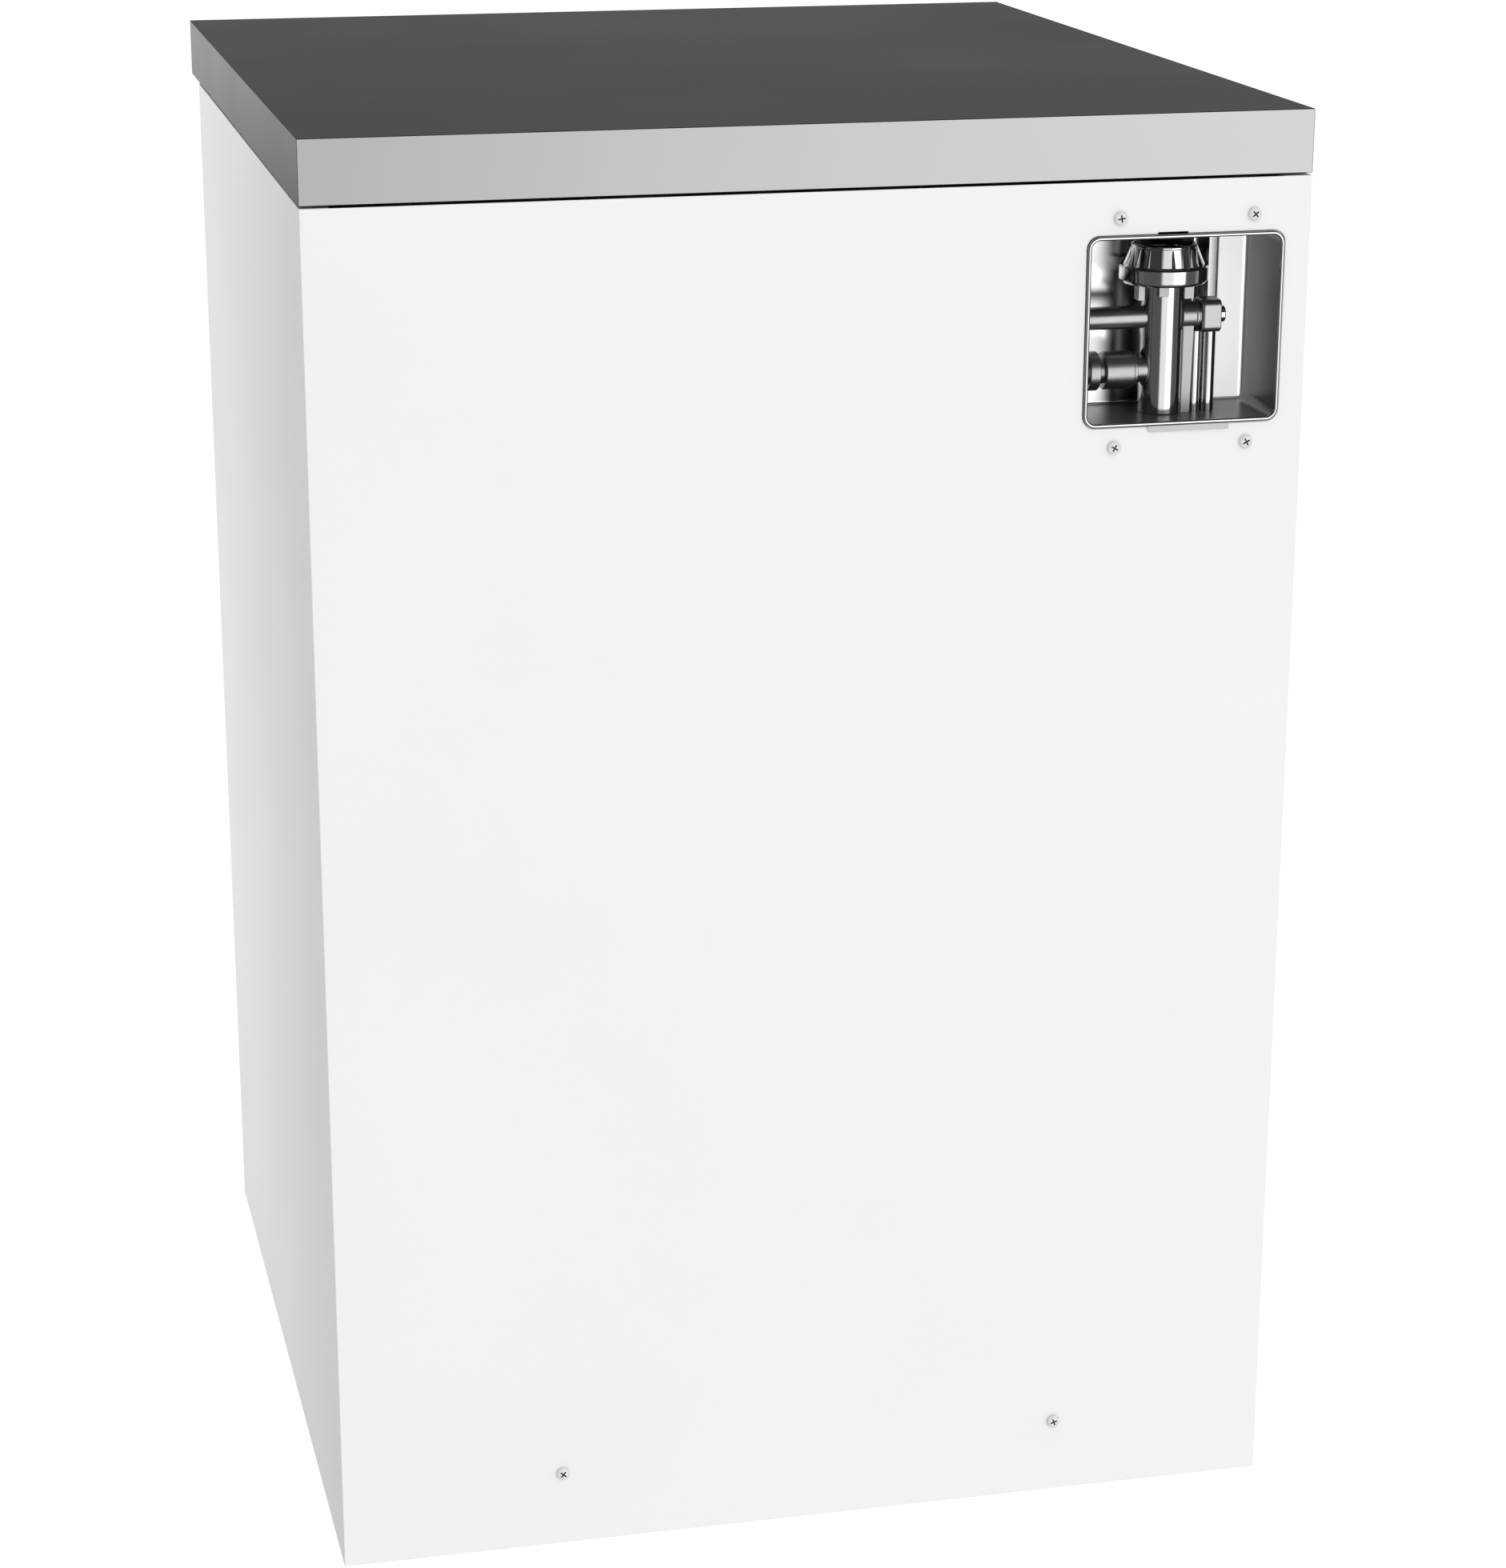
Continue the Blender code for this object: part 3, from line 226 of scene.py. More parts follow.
ZINC = finish_material("zinc_plate", (0.60, 0.61, 0.62), 0.34, metallic=0.9, contrast=0.72,
                       mottle_scale=55, grain_scale=700, bump=0.08, gloss_spread=0.15)
STAINLESS = finish_material("brushed_stainless", (0.63, 0.63, 0.64), 0.24, metallic=1.0, contrast=0.94,
                            mottle_scale=20, grain_scale=1600, stretch=(1, 0.03, 1), bump=0.12)
RUBBER = finish_material("black_rubber", (0.022, 0.022, 0.023), 0.62, contrast=0.7, mottle_scale=30,
                         grain_scale=1500, bump=0.25, bump_mm=0.05)
TREAD = finish_material("caster_tread", (0.03, 0.03, 0.031), 0.55, contrast=0.6, mottle_scale=45,
                        grain_scale=900, bump=0.25, bump_mm=0.08, gloss_spread=0.15)
RECESS_GLOSS = {"metallic": 1.0, "contrast": 0.98, "mottle_scale": 14, "grain_scale": 1400,
                "bump": 0.02, "bump_mm": 0.01, "gloss_spread": 0.03}
RECESS = finish_material("recess_metallic_grey", (0.40, 0.40, 0.405), 0.13, **RECESS_GLOSS)
COUPLER = finish_material("coupler_metallic_grey", (0.44, 0.44, 0.445), 0.09, metallic=1.0, contrast=0.96,
                          mottle_scale=25, grain_scale=1600, bump=0.04, bump_mm=0.02, gloss_spread=0.04)
PIPE = finish_material("pipe_satin_grey", (0.27, 0.27, 0.275), 0.30, metallic=1.0, contrast=0.95,
                       mottle_scale=30, grain_scale=1500, bump=0.08, bump_mm=0.02)
SCREW = finish_material("screw_paint", (0.74, 0.745, 0.755), 0.28, contrast=0.95, mottle_scale=60,
                        grain_scale=1200, bump=0.08, bump_mm=0.02)
# Near black for the inside of the screws' cross recess: painted shade.
CROSS_SHADE = finish_material("cross_painted_shade", (0.10, 0.10, 0.10), 0.5, metallic=0.6, contrast=0.8, mottle_scale=90)
RACK_COAT = finish_material("rack_coating", (0.55, 0.57, 0.60), 0.38, contrast=0.94, mottle_scale=25,
                            grain_scale=1100, bump=0.12, bump_mm=0.05)
BLUE_PLASTIC = finish_material("blue_grey_plastic", (0.30, 0.36, 0.43), 0.40, contrast=0.94,
                               grain_scale=1500, bump=0.12, bump_mm=0.03)
BLACK_PLASTIC = finish_material("black_plastic", (0.025, 0.025, 0.027), 0.42, contrast=0.8, grain_scale=1400,
                                bump=0.15, bump_mm=0.03)
# The strip is white; its glow of 0.62 is painted light, as the strip is no lamp.
STRIP_PAINTED_GLOW = finish_material("recess_strip_white_painted_glow", (0.90, 0.90, 0.905), 0.30, contrast=0.99, glow=0.62)
CAST = finish_material("cast_grey", (0.30, 0.30, 0.305), 0.42, metallic=1.0, contrast=0.95, mottle_scale=30,
                       grain_scale=1500, bump=0.08, bump_mm=0.02)
# Near black for the recess's floor, top and one side wall: painted shade inside the recess, on what is one
# grey moulding.
RECESS_WALL_SHADE = finish_material("recess_wall_painted_shade", (0.050, 0.050, 0.052), 0.30, contrast=0.94, mottle_scale=10,
                            grain_scale=1400, bump=0.05, bump_mm=0.02)
# The bead along the strip's edge glows at 0.95: a painted highlight.
STRIP_EDGE_HIGHLIGHT = finish_material("strip_edge_painted_highlight", (0.93, 0.93, 0.935), 0.25, contrast=0.99, glow=0.95)
TAB = finish_material("tab_grey", (0.56, 0.56, 0.565), 0.4, contrast=0.98)


def back_wall_painted_reflection():
    """The glossy grey of the recess, with a painted reflection: a soft white glow towards the end by the
    drain connection, except in a narrow horizontal band across it.
    """
    made = finish_material("recess_back_painted_reflection", (0.40, 0.40, 0.405), 0.16, **RECESS_GLOSS)
    tree = made.node_tree
    place = add_node(tree, "TexCoord")
    split = add_node(tree, "SeparateXYZ", {0: place.outputs["Object"]}).outputs
    along, above, below = [
        add_node(tree, "MapRange", {"From Min": start, "From Max": end, "Value": split[source]},
                 interpolation_type="SMOOTHSTEP").outputs[0]
        for source, start, end in (("X", -0.2085, -0.1940), ("Z", 0.8300, 0.8380), ("Z", 0.8260, 0.8180))]
    clear_of_band = add_node(tree, "Math", {0: above, 1: below}, operation="MAXIMUM")
    light = add_node(tree, "Math", {0: along, 1: clear_of_band.outputs[0]}, operation="MULTIPLY")
    white = add_node(tree, "Mix", {6: (0, 0, 0, 1), 7: (1, 1, 1, 1), "Factor": light.outputs[0]},
                     data_type="RGBA")
    shader = tree.nodes["Principled BSDF"]
    # The white glow is a painted reflection, masked to one end of the back wall and broken by a dark band.
    tree.links.new(white.outputs[2], shader.inputs["Emission Color"])
    shader.inputs["Emission Strength"].default_value = 0.80
    return made


RECESS_BACK_PAINTED_REFLECTION = back_wall_painted_reflection()

NODE_FINISHES = {
    ENAMEL: ("rear_panel", "side_panel_left", "side_panel_right", "toe_kick", "door_panel") + SCREW_NODES,
    WORKTOP: ("countertop",),
    WHITE_PLASTIC: ("control_panel",),
    STRIP_PAINTED_GLOW: ("recess_strip",),
    GREY_PLASTIC: ("start_button", "cycle_button", "latch_handle", "sump", "pump_housing",
                   "lower_spray_arm", "upper_spray_arm", "overfill_float", "dispenser"),
    LINING: ("tub", "door_liner"),
    ZINC: ("base_frame", "hinge_arm_left", "hinge_arm_right", "wash_motor",
           *("caster_fork_" + place for place in CASTERS)),
    TREAD: tuple("caster_wheel_" + place for place in CASTERS),
    RUBBER: ("door_seal", "fill_hose", "drain_hose"),
    STAINLESS: ("rack_rail_left", "rack_rail_right", "heating_element", "filter_basket",
                "door_spring_left", "door_spring_right"),
    RECESS: ("recess_box",),
    COUPLER: ("coupler_body", "coupler_collar", "hose_connector", "release_valve", "pressure_button"),
    RACK_COAT: ("lower_rack", "upper_rack"),
    BLUE_PLASTIC: ("cutlery_basket", "dispenser_lid", "rinse_cap", "inlet_valve"),
    BLACK_PLASTIC: ("drain_pump", "pump_impeller"),
}
FINISH_OF = {name: material for material, names in NODE_FINISHES.items() for name in names}


def dress_nodes():
    for name, material in FINISH_OF.items():
        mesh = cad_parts[name].data
        mesh.materials.clear()
        mesh.materials.append(material)


dress_nodes()


# ---------------------------------------------------------------- modelling helpers

def deselect():
    bpy.ops.object.select_all(action="DESELECT")


def settle():
    """Move the selected piece's place, turn and scale into its mesh."""
    bpy.ops.object.transform_apply(location=True, rotation=True, scale=True)


def only(*pieces):
    """Select these pieces and nothing else; the first is the active one."""
    deselect()
    for piece in pieces:
        piece.select_set(True)
    bpy.context.view_layer.objects.active = pieces[0]


def named(name):
    piece = bpy.context.active_object
    piece.name = name
    piece.data.name = name
    settle()
    return piece


def start_box(name, low, high):
    """A cube primitive at the extent it is given."""
    deselect()
    size = [top - bottom for bottom, top in zip(low, high)]
    middle = [(top + bottom) / 2 for bottom, top in zip(low, high)]
    bpy.ops.mesh.primitive_cube_add(size=1, location=middle, scale=size)
    return named(name)


AXIS_TURN = {"X": (0, math.pi / 2, 0), "Y": (-math.pi / 2, 0, 0), "Z": (0, 0, 0)}


def start_cylinder(name, centre, radius, depth, axis="Z", sides=48):
    deselect()
    bpy.ops.mesh.primitive_cylinder_add(vertices=sides, radius=radius, depth=depth, location=centre,
                                        rotation=AXIS_TURN[axis])
    return named(name)


def choose(piece, kind, test):
    """In edit mode, select the vertices, edges or faces whose middle passes the test."""
    bpy.ops.mesh.select_mode(type=kind)
    bpy.ops.mesh.select_all(action="DESELECT")
    mesh = bmesh.from_edit_mesh(piece.data)
    items = {"VERT": mesh.verts, "EDGE": mesh.edges, "FACE": mesh.faces}[kind]
    for item in items:
        if kind == "VERT":
            middle = item.co
        elif kind == "EDGE":
            middle = (item.verts[0].co + item.verts[1].co) / 2
        else:
            middle = item.calc_center_median()
        if test(middle, item):
            item.select_set(True)
    bmesh.update_edit_mesh(piece.data)


def edit(piece):
    only(piece)
    bpy.ops.object.mode_set(mode="EDIT")


def leave_edit():
    bpy.ops.object.mode_set(mode="OBJECT")


def face_outwards():
    """In edit mode, turn every face outwards."""
    bpy.ops.mesh.select_all(action="SELECT")
    bpy.ops.mesh.normals_make_consistent(inside=False)


def bevel_where(piece, width, segments, test):
    """In edit mode, round the edges whose middle passes the test."""
    choose(piece, "EDGE", test)
    bpy.ops.mesh.bevel(offset=width, segments=segments, affect="EDGES")


def round_corners(piece, axis, radius, segments):
    """Round the four edges of a box that run along one axis."""
    index = "XYZ".index(axis)

    def runs_along(middle, edge):
        return abs((edge.verts[0].co - edge.verts[1].co).normalized()[index]) > 0.99

    edit(piece)
    bevel_where(piece, radius, segments, runs_along)
    leave_edit()
    return piece


def modify(piece, kind, **settings):
    """Add a modifier and apply it."""
    only(piece)
    modifier = piece.modifiers.new(kind.lower(), kind)
    for key, value in settings.items():
        setattr(modifier, key, value)
    bpy.ops.object.modifier_apply(modifier=modifier.name)
    return piece


def soften(piece, width, segments=3, angle=35):
    """Round all the sharp edges of a piece."""
    return modify(piece, "BEVEL", width=width, segments=segments, limit_method="ANGLE",
                  angle_limit=math.radians(angle), harden_normals=False)


def combine(piece, other, operation):
    only(piece)
    modify(piece, "BOOLEAN", operation=operation, solver="EXACT", object=other)
    bpy.data.objects.remove(other)
    return piece


def unite(piece, *others):
    for other in others:
        combine(piece, other, "UNION")
    return piece


def carve(piece, *others):
    for other in others:
        combine(piece, other, "DIFFERENCE")
    return piece


def gather(name, *pieces):
    """Join pieces into one object."""
    only(*pieces)
    bpy.ops.object.join()
    return named(name)


def turn_about(piece, centre, axis, angle):
    """Turn a piece about an axis through centre, and keep its object at the origin."""
    only(piece)
    there = Matrix.Translation(Vector(centre))
    piece.matrix_world = there @ Matrix.Rotation(angle, 4, axis) @ there.inverted() @ piece.matrix_world
    settle()
    return piece


def shift(piece, by):
    only(piece)
    piece.location = by
    settle()
    return piece


def twin(piece, name):
    """A copy with a mesh of its own."""
    copy = piece.copy()
    copy.data = piece.data.copy()
    copy.name = name
    bpy.context.scene.collection.objects.link(copy)
    return copy


def mirror_twin(piece, name):
    """A copy mirrored across X = 0, with its faces outwards again."""
    copy = twin(piece, name)
    only(copy)
    copy.scale = (-1, 1, 1)
    settle()
    edit(copy)
    face_outwards()
    leave_edit()
    return copy


def around(piece, centre, axis, count):
    """Copies of a piece all the way round an axis, as one list with the piece itself."""
    ring = [piece]
    for index in range(1, count):
        ring.append(turn_about(twin(piece, piece.name), centre, axis, 2 * math.pi * index / count))
    return ring


def turned(name, centre, profile, axis="Z", sides=48):
    """A turned piece: a circle extruded from ring to ring. The profile lists (radius, height above
    centre); radius 0 ends it at a point, and a profile that doesn't start or end at 0 is a tube wall
    whose last ring joins its first."""
    deselect()
    tip = profile[0][0] == 0
    rings = profile[1:] if tip else profile
    bpy.ops.mesh.primitive_circle_add(vertices=sides, radius=rings[0][0], location=(0, 0, rings[0][1]),
                                      fill_type="NGON" if tip else "NOTHING")
    piece = named(name)
    edit(piece)
    if tip:
        choose(piece, "EDGE", lambda middle, edge: True)
    else:
        bpy.ops.mesh.select_all(action="SELECT")
    closed_end = profile[-1][0] == 0
    body = rings[:-1] if closed_end else rings
    bpy.ops.mesh.select_mode(type="EDGE")
    last_radius, last_height = body[0]
    for radius, height in body[1:]:
        if tip and (last_radius, last_height) == body[0]:
            bpy.ops.mesh.extrude_region_move()
        else:
            bpy.ops.mesh.extrude_edges_move()
        bpy.ops.transform.translate(value=(0, 0, height - last_height))
        bpy.ops.transform.resize(value=(radius / last_radius, radius / last_radius, 1),
                                 center_override=(0, 0, height))
        last_radius, last_height = radius, height
    if closed_end:
        bpy.ops.mesh.edge_face_add()
    elif not tip:
        choose(piece, "EDGE", lambda middle, ring_edge: ring_edge.is_boundary)
        bpy.ops.mesh.bridge_edge_loops()
    face_outwards()
    leave_edit()
    piece.rotation_euler = AXIS_TURN[axis]
    piece.location = centre
    only(piece)
    settle()
    return piece


def path(name, points, bend=0.0, closed=False):
    """A thin path through the points with rounded bends, for row() and wire()."""
    deselect()
    bpy.ops.mesh.primitive_plane_add(size=0.01, location=points[0])
    piece = named(name)
    edit(piece)
    bpy.ops.mesh.select_mode(type="VERT")
    bpy.ops.mesh.select_all(action="SELECT")
    bpy.ops.mesh.merge(type="CENTER")
    last = Vector(points[0])
    for point in points[1:]:
        bpy.ops.mesh.extrude_region_move(TRANSFORM_OT_translate={"value": Vector(point) - last})
        last = Vector(point)
    if closed:
        choose(piece, "VERT", lambda at, vert: len(vert.link_edges) == 1)
        bpy.ops.mesh.edge_face_add()
    if bend:
        choose(piece, "VERT", lambda at, vert: len(vert.link_edges) == 2)
        bpy.ops.mesh.bevel(offset=bend, segments=4, affect="VERTICES")
    leave_edit()
    return piece


def row(piece, count, step):
    """The piece repeated count times, one step apart."""
    return modify(piece, "ARRAY", count=count, use_relative_offset=False, use_constant_offset=True,
                  constant_offset_displace=step)


def wire(piece, radius, sides=8):
    """Give the edges of a mesh a round section."""
    only(piece)
    bpy.ops.object.convert(target="CURVE")
    curve = bpy.context.active_object
    curve.data.bevel_depth = radius
    curve.data.bevel_resolution = sides // 4 - 1
    curve.data.use_fill_caps = True
    bpy.ops.object.convert(target="MESH")
    made = bpy.context.active_object
    bpy.ops.object.shade_smooth()
    return made


def finish(piece, material, body, slot, *nodes, angle=32):
    """Shade a piece, give it its material and tie it to the frame."""
    only(piece)
    bpy.ops.object.shade_smooth_by_angle(angle=math.radians(angle))
    modify(piece, "WEIGHTED_NORMAL", keep_sharp=True)
    piece.data.materials.clear()
    piece.data.materials.append(material)
    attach(piece, body)
    if nodes:
        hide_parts(*nodes)
    return piece


def softened_node(node, body, slot, width):
    """A CAD node's shape with its sharp edges rounded."""
    name = node + "_skin"
    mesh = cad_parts[node].data.copy()
    piece = bpy.data.objects.new(name, mesh)
    bpy.context.scene.collection.objects.link(piece)
    piece.matrix_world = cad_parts[node].matrix_world
    only(piece)
    settle()
    piece.data.name = name
    edit(piece)
    bpy.ops.mesh.select_all(action="SELECT")
    bpy.ops.mesh.remove_doubles(threshold=0.00001)
    bpy.ops.mesh.dissolve_limited(angle_limit=math.radians(0.5))
    bpy.ops.mesh.mark_sharp(clear=True)
    leave_edit()
    modify(piece, "BEVEL", width=width, segments=2, limit_method="ANGLE",
           angle_limit=math.radians(32), use_clamp_overlap=True, miter_outer="MITER_SHARP")
    return finish(piece, FINISH_OF[node], body, slot, node)


def extent(node):
    low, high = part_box(node)
    return Vector(low), Vector(high), (Vector(low) + Vector(high)) / 2


# ---------------------------------------------------------------- worktop and cabinet

def make_worktop():
    low, high, _ = extent("countertop")
    slab = start_box("worktop_slab", low, high)
    edit(slab)
    choose(slab, "FACE", lambda at, face: face.normal.z < -0.9)
    bpy.ops.mesh.inset(thickness=0.018, depth=0)
    bpy.ops.mesh.inset(thickness=0.0005, depth=0)
    bpy.ops.transform.translate(value=(0, 0, 0.0010))
    leave_edit()
    soften(slab, 0.0032, 6)
    finish(slab, WORKTOP, "cabinet", "worktop", "countertop")


def slot_for_clip(lift):
    """Cutter for the clip slot above the recess, through the sheet and the flange."""
    return start_box("clip_slot", (CLIP_SLOT_X[0], REAR_Y - 0.01, RIM_Z[1] - 0.003),
                     (CLIP_SLOT_X[1], REAR_Y + 0.01, RIM_Z[1] + lift))


def recess_opening(gap):
    """Cutter for the opening of the recess, a gap wider than the rim."""
    opening = start_box("opening", (RIM_X[0] - gap, REAR_Y - 0.012, RIM_Z[0] - gap),
                        (RIM_X[1] + gap, REAR_Y + 0.01, RIM_Z[1] + gap))
    return round_corners(opening, "Y", RIM_CORNER, 8)


def make_rear_sheet():
    """The rear panel: a flat sheet with rolled edges, the opening of the recess and the clip slot."""
    low, high, _ = extent("rear_panel")
    sheet = start_box("rear_sheet", low, high)
    carve(sheet, recess_opening(0.0004), slot_for_clip(0.0014))
    soften(sheet, 0.00045, 3)
    finish(sheet, ENAMEL, "cabinet", "white_paint", "rear_panel")


# ---------------------------------------------------------------- screws

def make_screws():
    """Pan heads with a cross recess: a head turned at each seat, then carved."""
    for node, first_turn in zip(SCREW_NODES, CROSS_TURNS):
        low, high, middle = extent(node)
        radius = (high.x - low.x) / 2
        height = 0.0021
        seat = high.y - height
        head = turned(node + "_head", (middle.x, seat, middle.z),
                      [(0, 0.0), (radius * 0.86, 0.0), (radius * 0.86, 0.0003), (radius, 0.0004),
                       (radius, 0.0009), (radius * 0.96, 0.0013), (radius * 0.84, 0.0017),
                       (radius * 0.62, 0.0020), (radius * 0.40, 0.0021), (0, height)], "Y", 48)
        for turn in (0, 90):
            arm = start_box("arm", (middle.x - radius * 0.54, high.y - 0.0013, middle.z - radius * 0.12),
                            (middle.x + radius * 0.54, high.y + 0.002, middle.z + radius * 0.12))
            turn_about(arm, middle, "Y", math.radians(first_turn + turn))
            carve(head, arm)
        finish(head, SCREW, "cabinet", "white_paint", node)
        # The faces inside the cross get the near-black material, painted shade in the recess.
        head.data.materials.append(CROSS_SHADE)
        for face in head.data.polygons:
            off = face.center - Vector((middle.x, face.center.y, middle.z))
            deep = face.center.y < high.y - 0.0011 or abs(face.normal.y) < 0.2
            if deep and off.length < radius * 0.56:
                face.material_index = 1


# ---------------------------------------------------------------- recess moulding

def back_pocket():
    """Cutter for the slanting pocket in the back wall, with a round bottom beside the strip."""
    flat = BACK_Y + 0.001
    bend = Vector((-0.2628, BACK_Y - 0.0030))
    bend_r = 0.0040
    arc = [(bend.x + bend_r * math.sin(turn), bend.y - bend_r * math.cos(turn))
           for turn in (math.radians(angle) for angle in range(-75, 18, 6))]
    outline = [(-0.2725, flat), (-0.2705, BACK_Y)] + arc + [(-0.2330, BACK_Y), (-0.2300, flat)]
    low_z = RIM_Z[0] + POCKET_MARGIN
    high_z = RIM_Z[1] - POCKET_MARGIN
    deselect()
    bpy.ops.mesh.primitive_circle_add(vertices=len(outline), radius=0.01, fill_type="NGON",
                                      location=(0, 0, low_z))
    pocket = named("pocket")
    for vertex, (x, y) in zip(pocket.data.vertices, outline):
        vertex.co.x = x
        vertex.co.y = y
    edit(pocket)
    bpy.ops.mesh.select_all(action="SELECT")
    bpy.ops.mesh.extrude_region_move(TRANSFORM_OT_translate={"value": (0, 0, high_z - low_z)})
    face_outwards()
    leave_edit()
    return pocket


def make_recess():
    """The moulded box: rounded inner corners, a pocket in its back wall, a raised round rim and a peg."""
    _, high, _ = extent("recess_box")
    _, strip_high, _ = extent("recess_strip")
    shell = start_box("recess_moulding", (RIM_X[0], BACK_Y - 0.0085, RIM_Z[0]),
                      (RIM_X[1], high.y, RIM_Z[1]))
    round_corners(shell, "Y", RIM_CORNER, 8)
    cavity = start_box("cavity", (RIM_X[0] + RIM_WIDTH, BACK_Y, RIM_Z[0] + RIM_WIDTH),
                       (RIM_X[1] - RIM_WIDTH, high.y + 0.02, RIM_Z[1] - RIM_WIDTH))
    round_corners(cavity, "Y", RIM_CORNER - RIM_WIDTH, 8)
    edit(cavity)
    bevel_where(cavity, 0.0016, 5, lambda at, edge: at.y < BACK_Y + 0.0005)
    leave_edit()
    groove = start_box("groove", (strip_high.x + 0.0001, BACK_Y - 0.0040, RIM_Z[0] + POCKET_MARGIN),
                       (strip_high.x + 0.0013, BACK_Y + 0.001, RIM_Z[1] - POCKET_MARGIN))
    carve(shell, cavity, back_pocket(), groove)
    edit(shell)
    bevel_where(shell, 0.0012, 5, lambda at, edge: at.y > high.y - 0.0001)
    leave_edit()
    for pipe_z, radius in ((CROSS_Z, 0.0080), (DRAIN_Z, 0.0092)):
        carve(shell, start_cylinder("hole", (RIM_X[1], COUPLER_Y, pipe_z), radius, 0.012, "X", 40))
    peg = turned("peg", (RIM_X[1] - 0.0020, REAR_Y - 0.022, PEG_Z),
                 [(0, -0.0074), (0.0017, -0.0074), (0.0023, -0.0066), (0.0023, -0.0040),
                  (0.0019, -0.0034), (0.0019, 0.0), (0, 0.0)], "X", 24)
    moulding = gather("recess_moulding", shell, peg)
    finish(moulding, RECESS, "cabinet", "recess_moulding", "recess_box")
    moulding.data.materials.append(RECESS_WALL_SHADE)
    moulding.data.materials.append(RECESS_BACK_PAINTED_REFLECTION)
    # Faces inside the recess that face neither +Y nor -X get the near-black material, painted shade of the
    # recess.
    for face in moulding.data.polygons:
        at = face.center
        inside = BACK_Y + 0.0015 < at.y < high.y - 0.0016 and face.area > 0.00001
        if inside and abs(face.normal.y) < 0.5 and face.normal.x >= -0.7:
            face.material_index = 1
        # The back wall takes the grey with the painted reflection glowing on it.
        if face.normal.y > 0.9 and at.y < BACK_Y + 0.0004:
            face.material_index = 2


def make_recess_trim():
    """The strip's edge bead with its painted highlight, the flange behind the rear panel and the tab below
    the rim.
    """
    low, high, _ = extent("recess_strip")
    # A thin bead at the strip's edge that glows as a painted highlight.
    edge = start_box("strip_edge", (low.x, high.y - 0.0002, low.z),
                     (low.x + 0.0011, high.y + 0.0005, high.z))
    soften(edge, 0.0003, 2)
    finish(edge, STRIP_EDGE_HIGHLIGHT, "cabinet", "white_plastic")
    low, high, _ = extent("recess_box")
    flange = start_box("recess_flange", (low.x, REAR_Y - 0.0029, low.z), (high.x, REAR_Y - 0.0013, high.z))
    carve(flange, recess_opening(0.0001), slot_for_clip(0.0030))
    finish(flange, PIPE, "cabinet", "recess_moulding")
    tab = start_box("recess_tab", (TAB_X[0], REAR_Y + 0.0003, RIM_Z[0] - 0.0039),
                    (TAB_X[1], REAR_Y + 0.0013, RIM_Z[0] - 0.0001))
    edit(tab)
    choose(tab, "VERT", lambda at, vert: at.z < RIM_Z[0] - 0.003 and at.x > -0.23)
    bpy.ops.transform.translate(value=(-0.0012, 0, 0))
    leave_edit()
    soften(tab, 0.0003, 3)
    finish(tab, TAB, "cabinet", "white_plastic")


# ---------------------------------------------------------------- coupler

def make_collar():
    """The snap collar: plain band, ribbed cone and rolled lip."""
    low, high, middle = extent("coupler_collar")
    base = Vector((middle.x, middle.y, low.z))
    top = high.z - low.z
    outer = (high.x - low.x) / 2
    foot = 0.0108
    collar = turned("snap_collar", base,
                    [(0.0190, top - 0.0006), (0.0193, top), (0.0202, top), (0.0208, top - 0.0005),
                     (0.0209, top - 0.0013), (0.0206, top - 0.0019), (0.0226, foot + 0.0008),
                     (0.0230, foot), (outer - 0.0010, foot), (outer, foot - 0.0009), (outer, 0.0024),
                     (outer - 0.0006, 0.0013), (0.0262, 0.0), (0.0199, 0.0), (0.0197, 0.0010),
                     (0.0197, 0.0200), (0.0172, 0.0200), (0.0168, 0.0206), (0.0184, 0.0224)], "Z", 96)
    rib_foot_r = 0.0258
    rib_top_r = 0.0210
    rib = start_box("rib", (base.x + 0.0195, base.y - 0.0009, base.z + foot - 0.0004),
                    (base.x + rib_foot_r, base.y + 0.0009, base.z + top - 0.0022))
    edit(rib)
    choose(rib, "VERT", lambda at, vert: at.z > base.z + 0.015 and at.x > base.x + 0.02)
    bpy.ops.transform.translate(value=(rib_top_r - rib_foot_r, 0, 0))
    bpy.ops.transform.resize(value=(1, 0.35, 1), center_override=base)
    leave_edit()
    soften(rib, 0.00022, 2)
    turn_about(rib, base, "Z", math.radians(6))
    ribs = around(rib, base, "Z", COLLAR_RIBS)
    finish(gather("snap_collar", collar, *ribs), COUPLER, "collar", "coupler_finish", "coupler_collar")


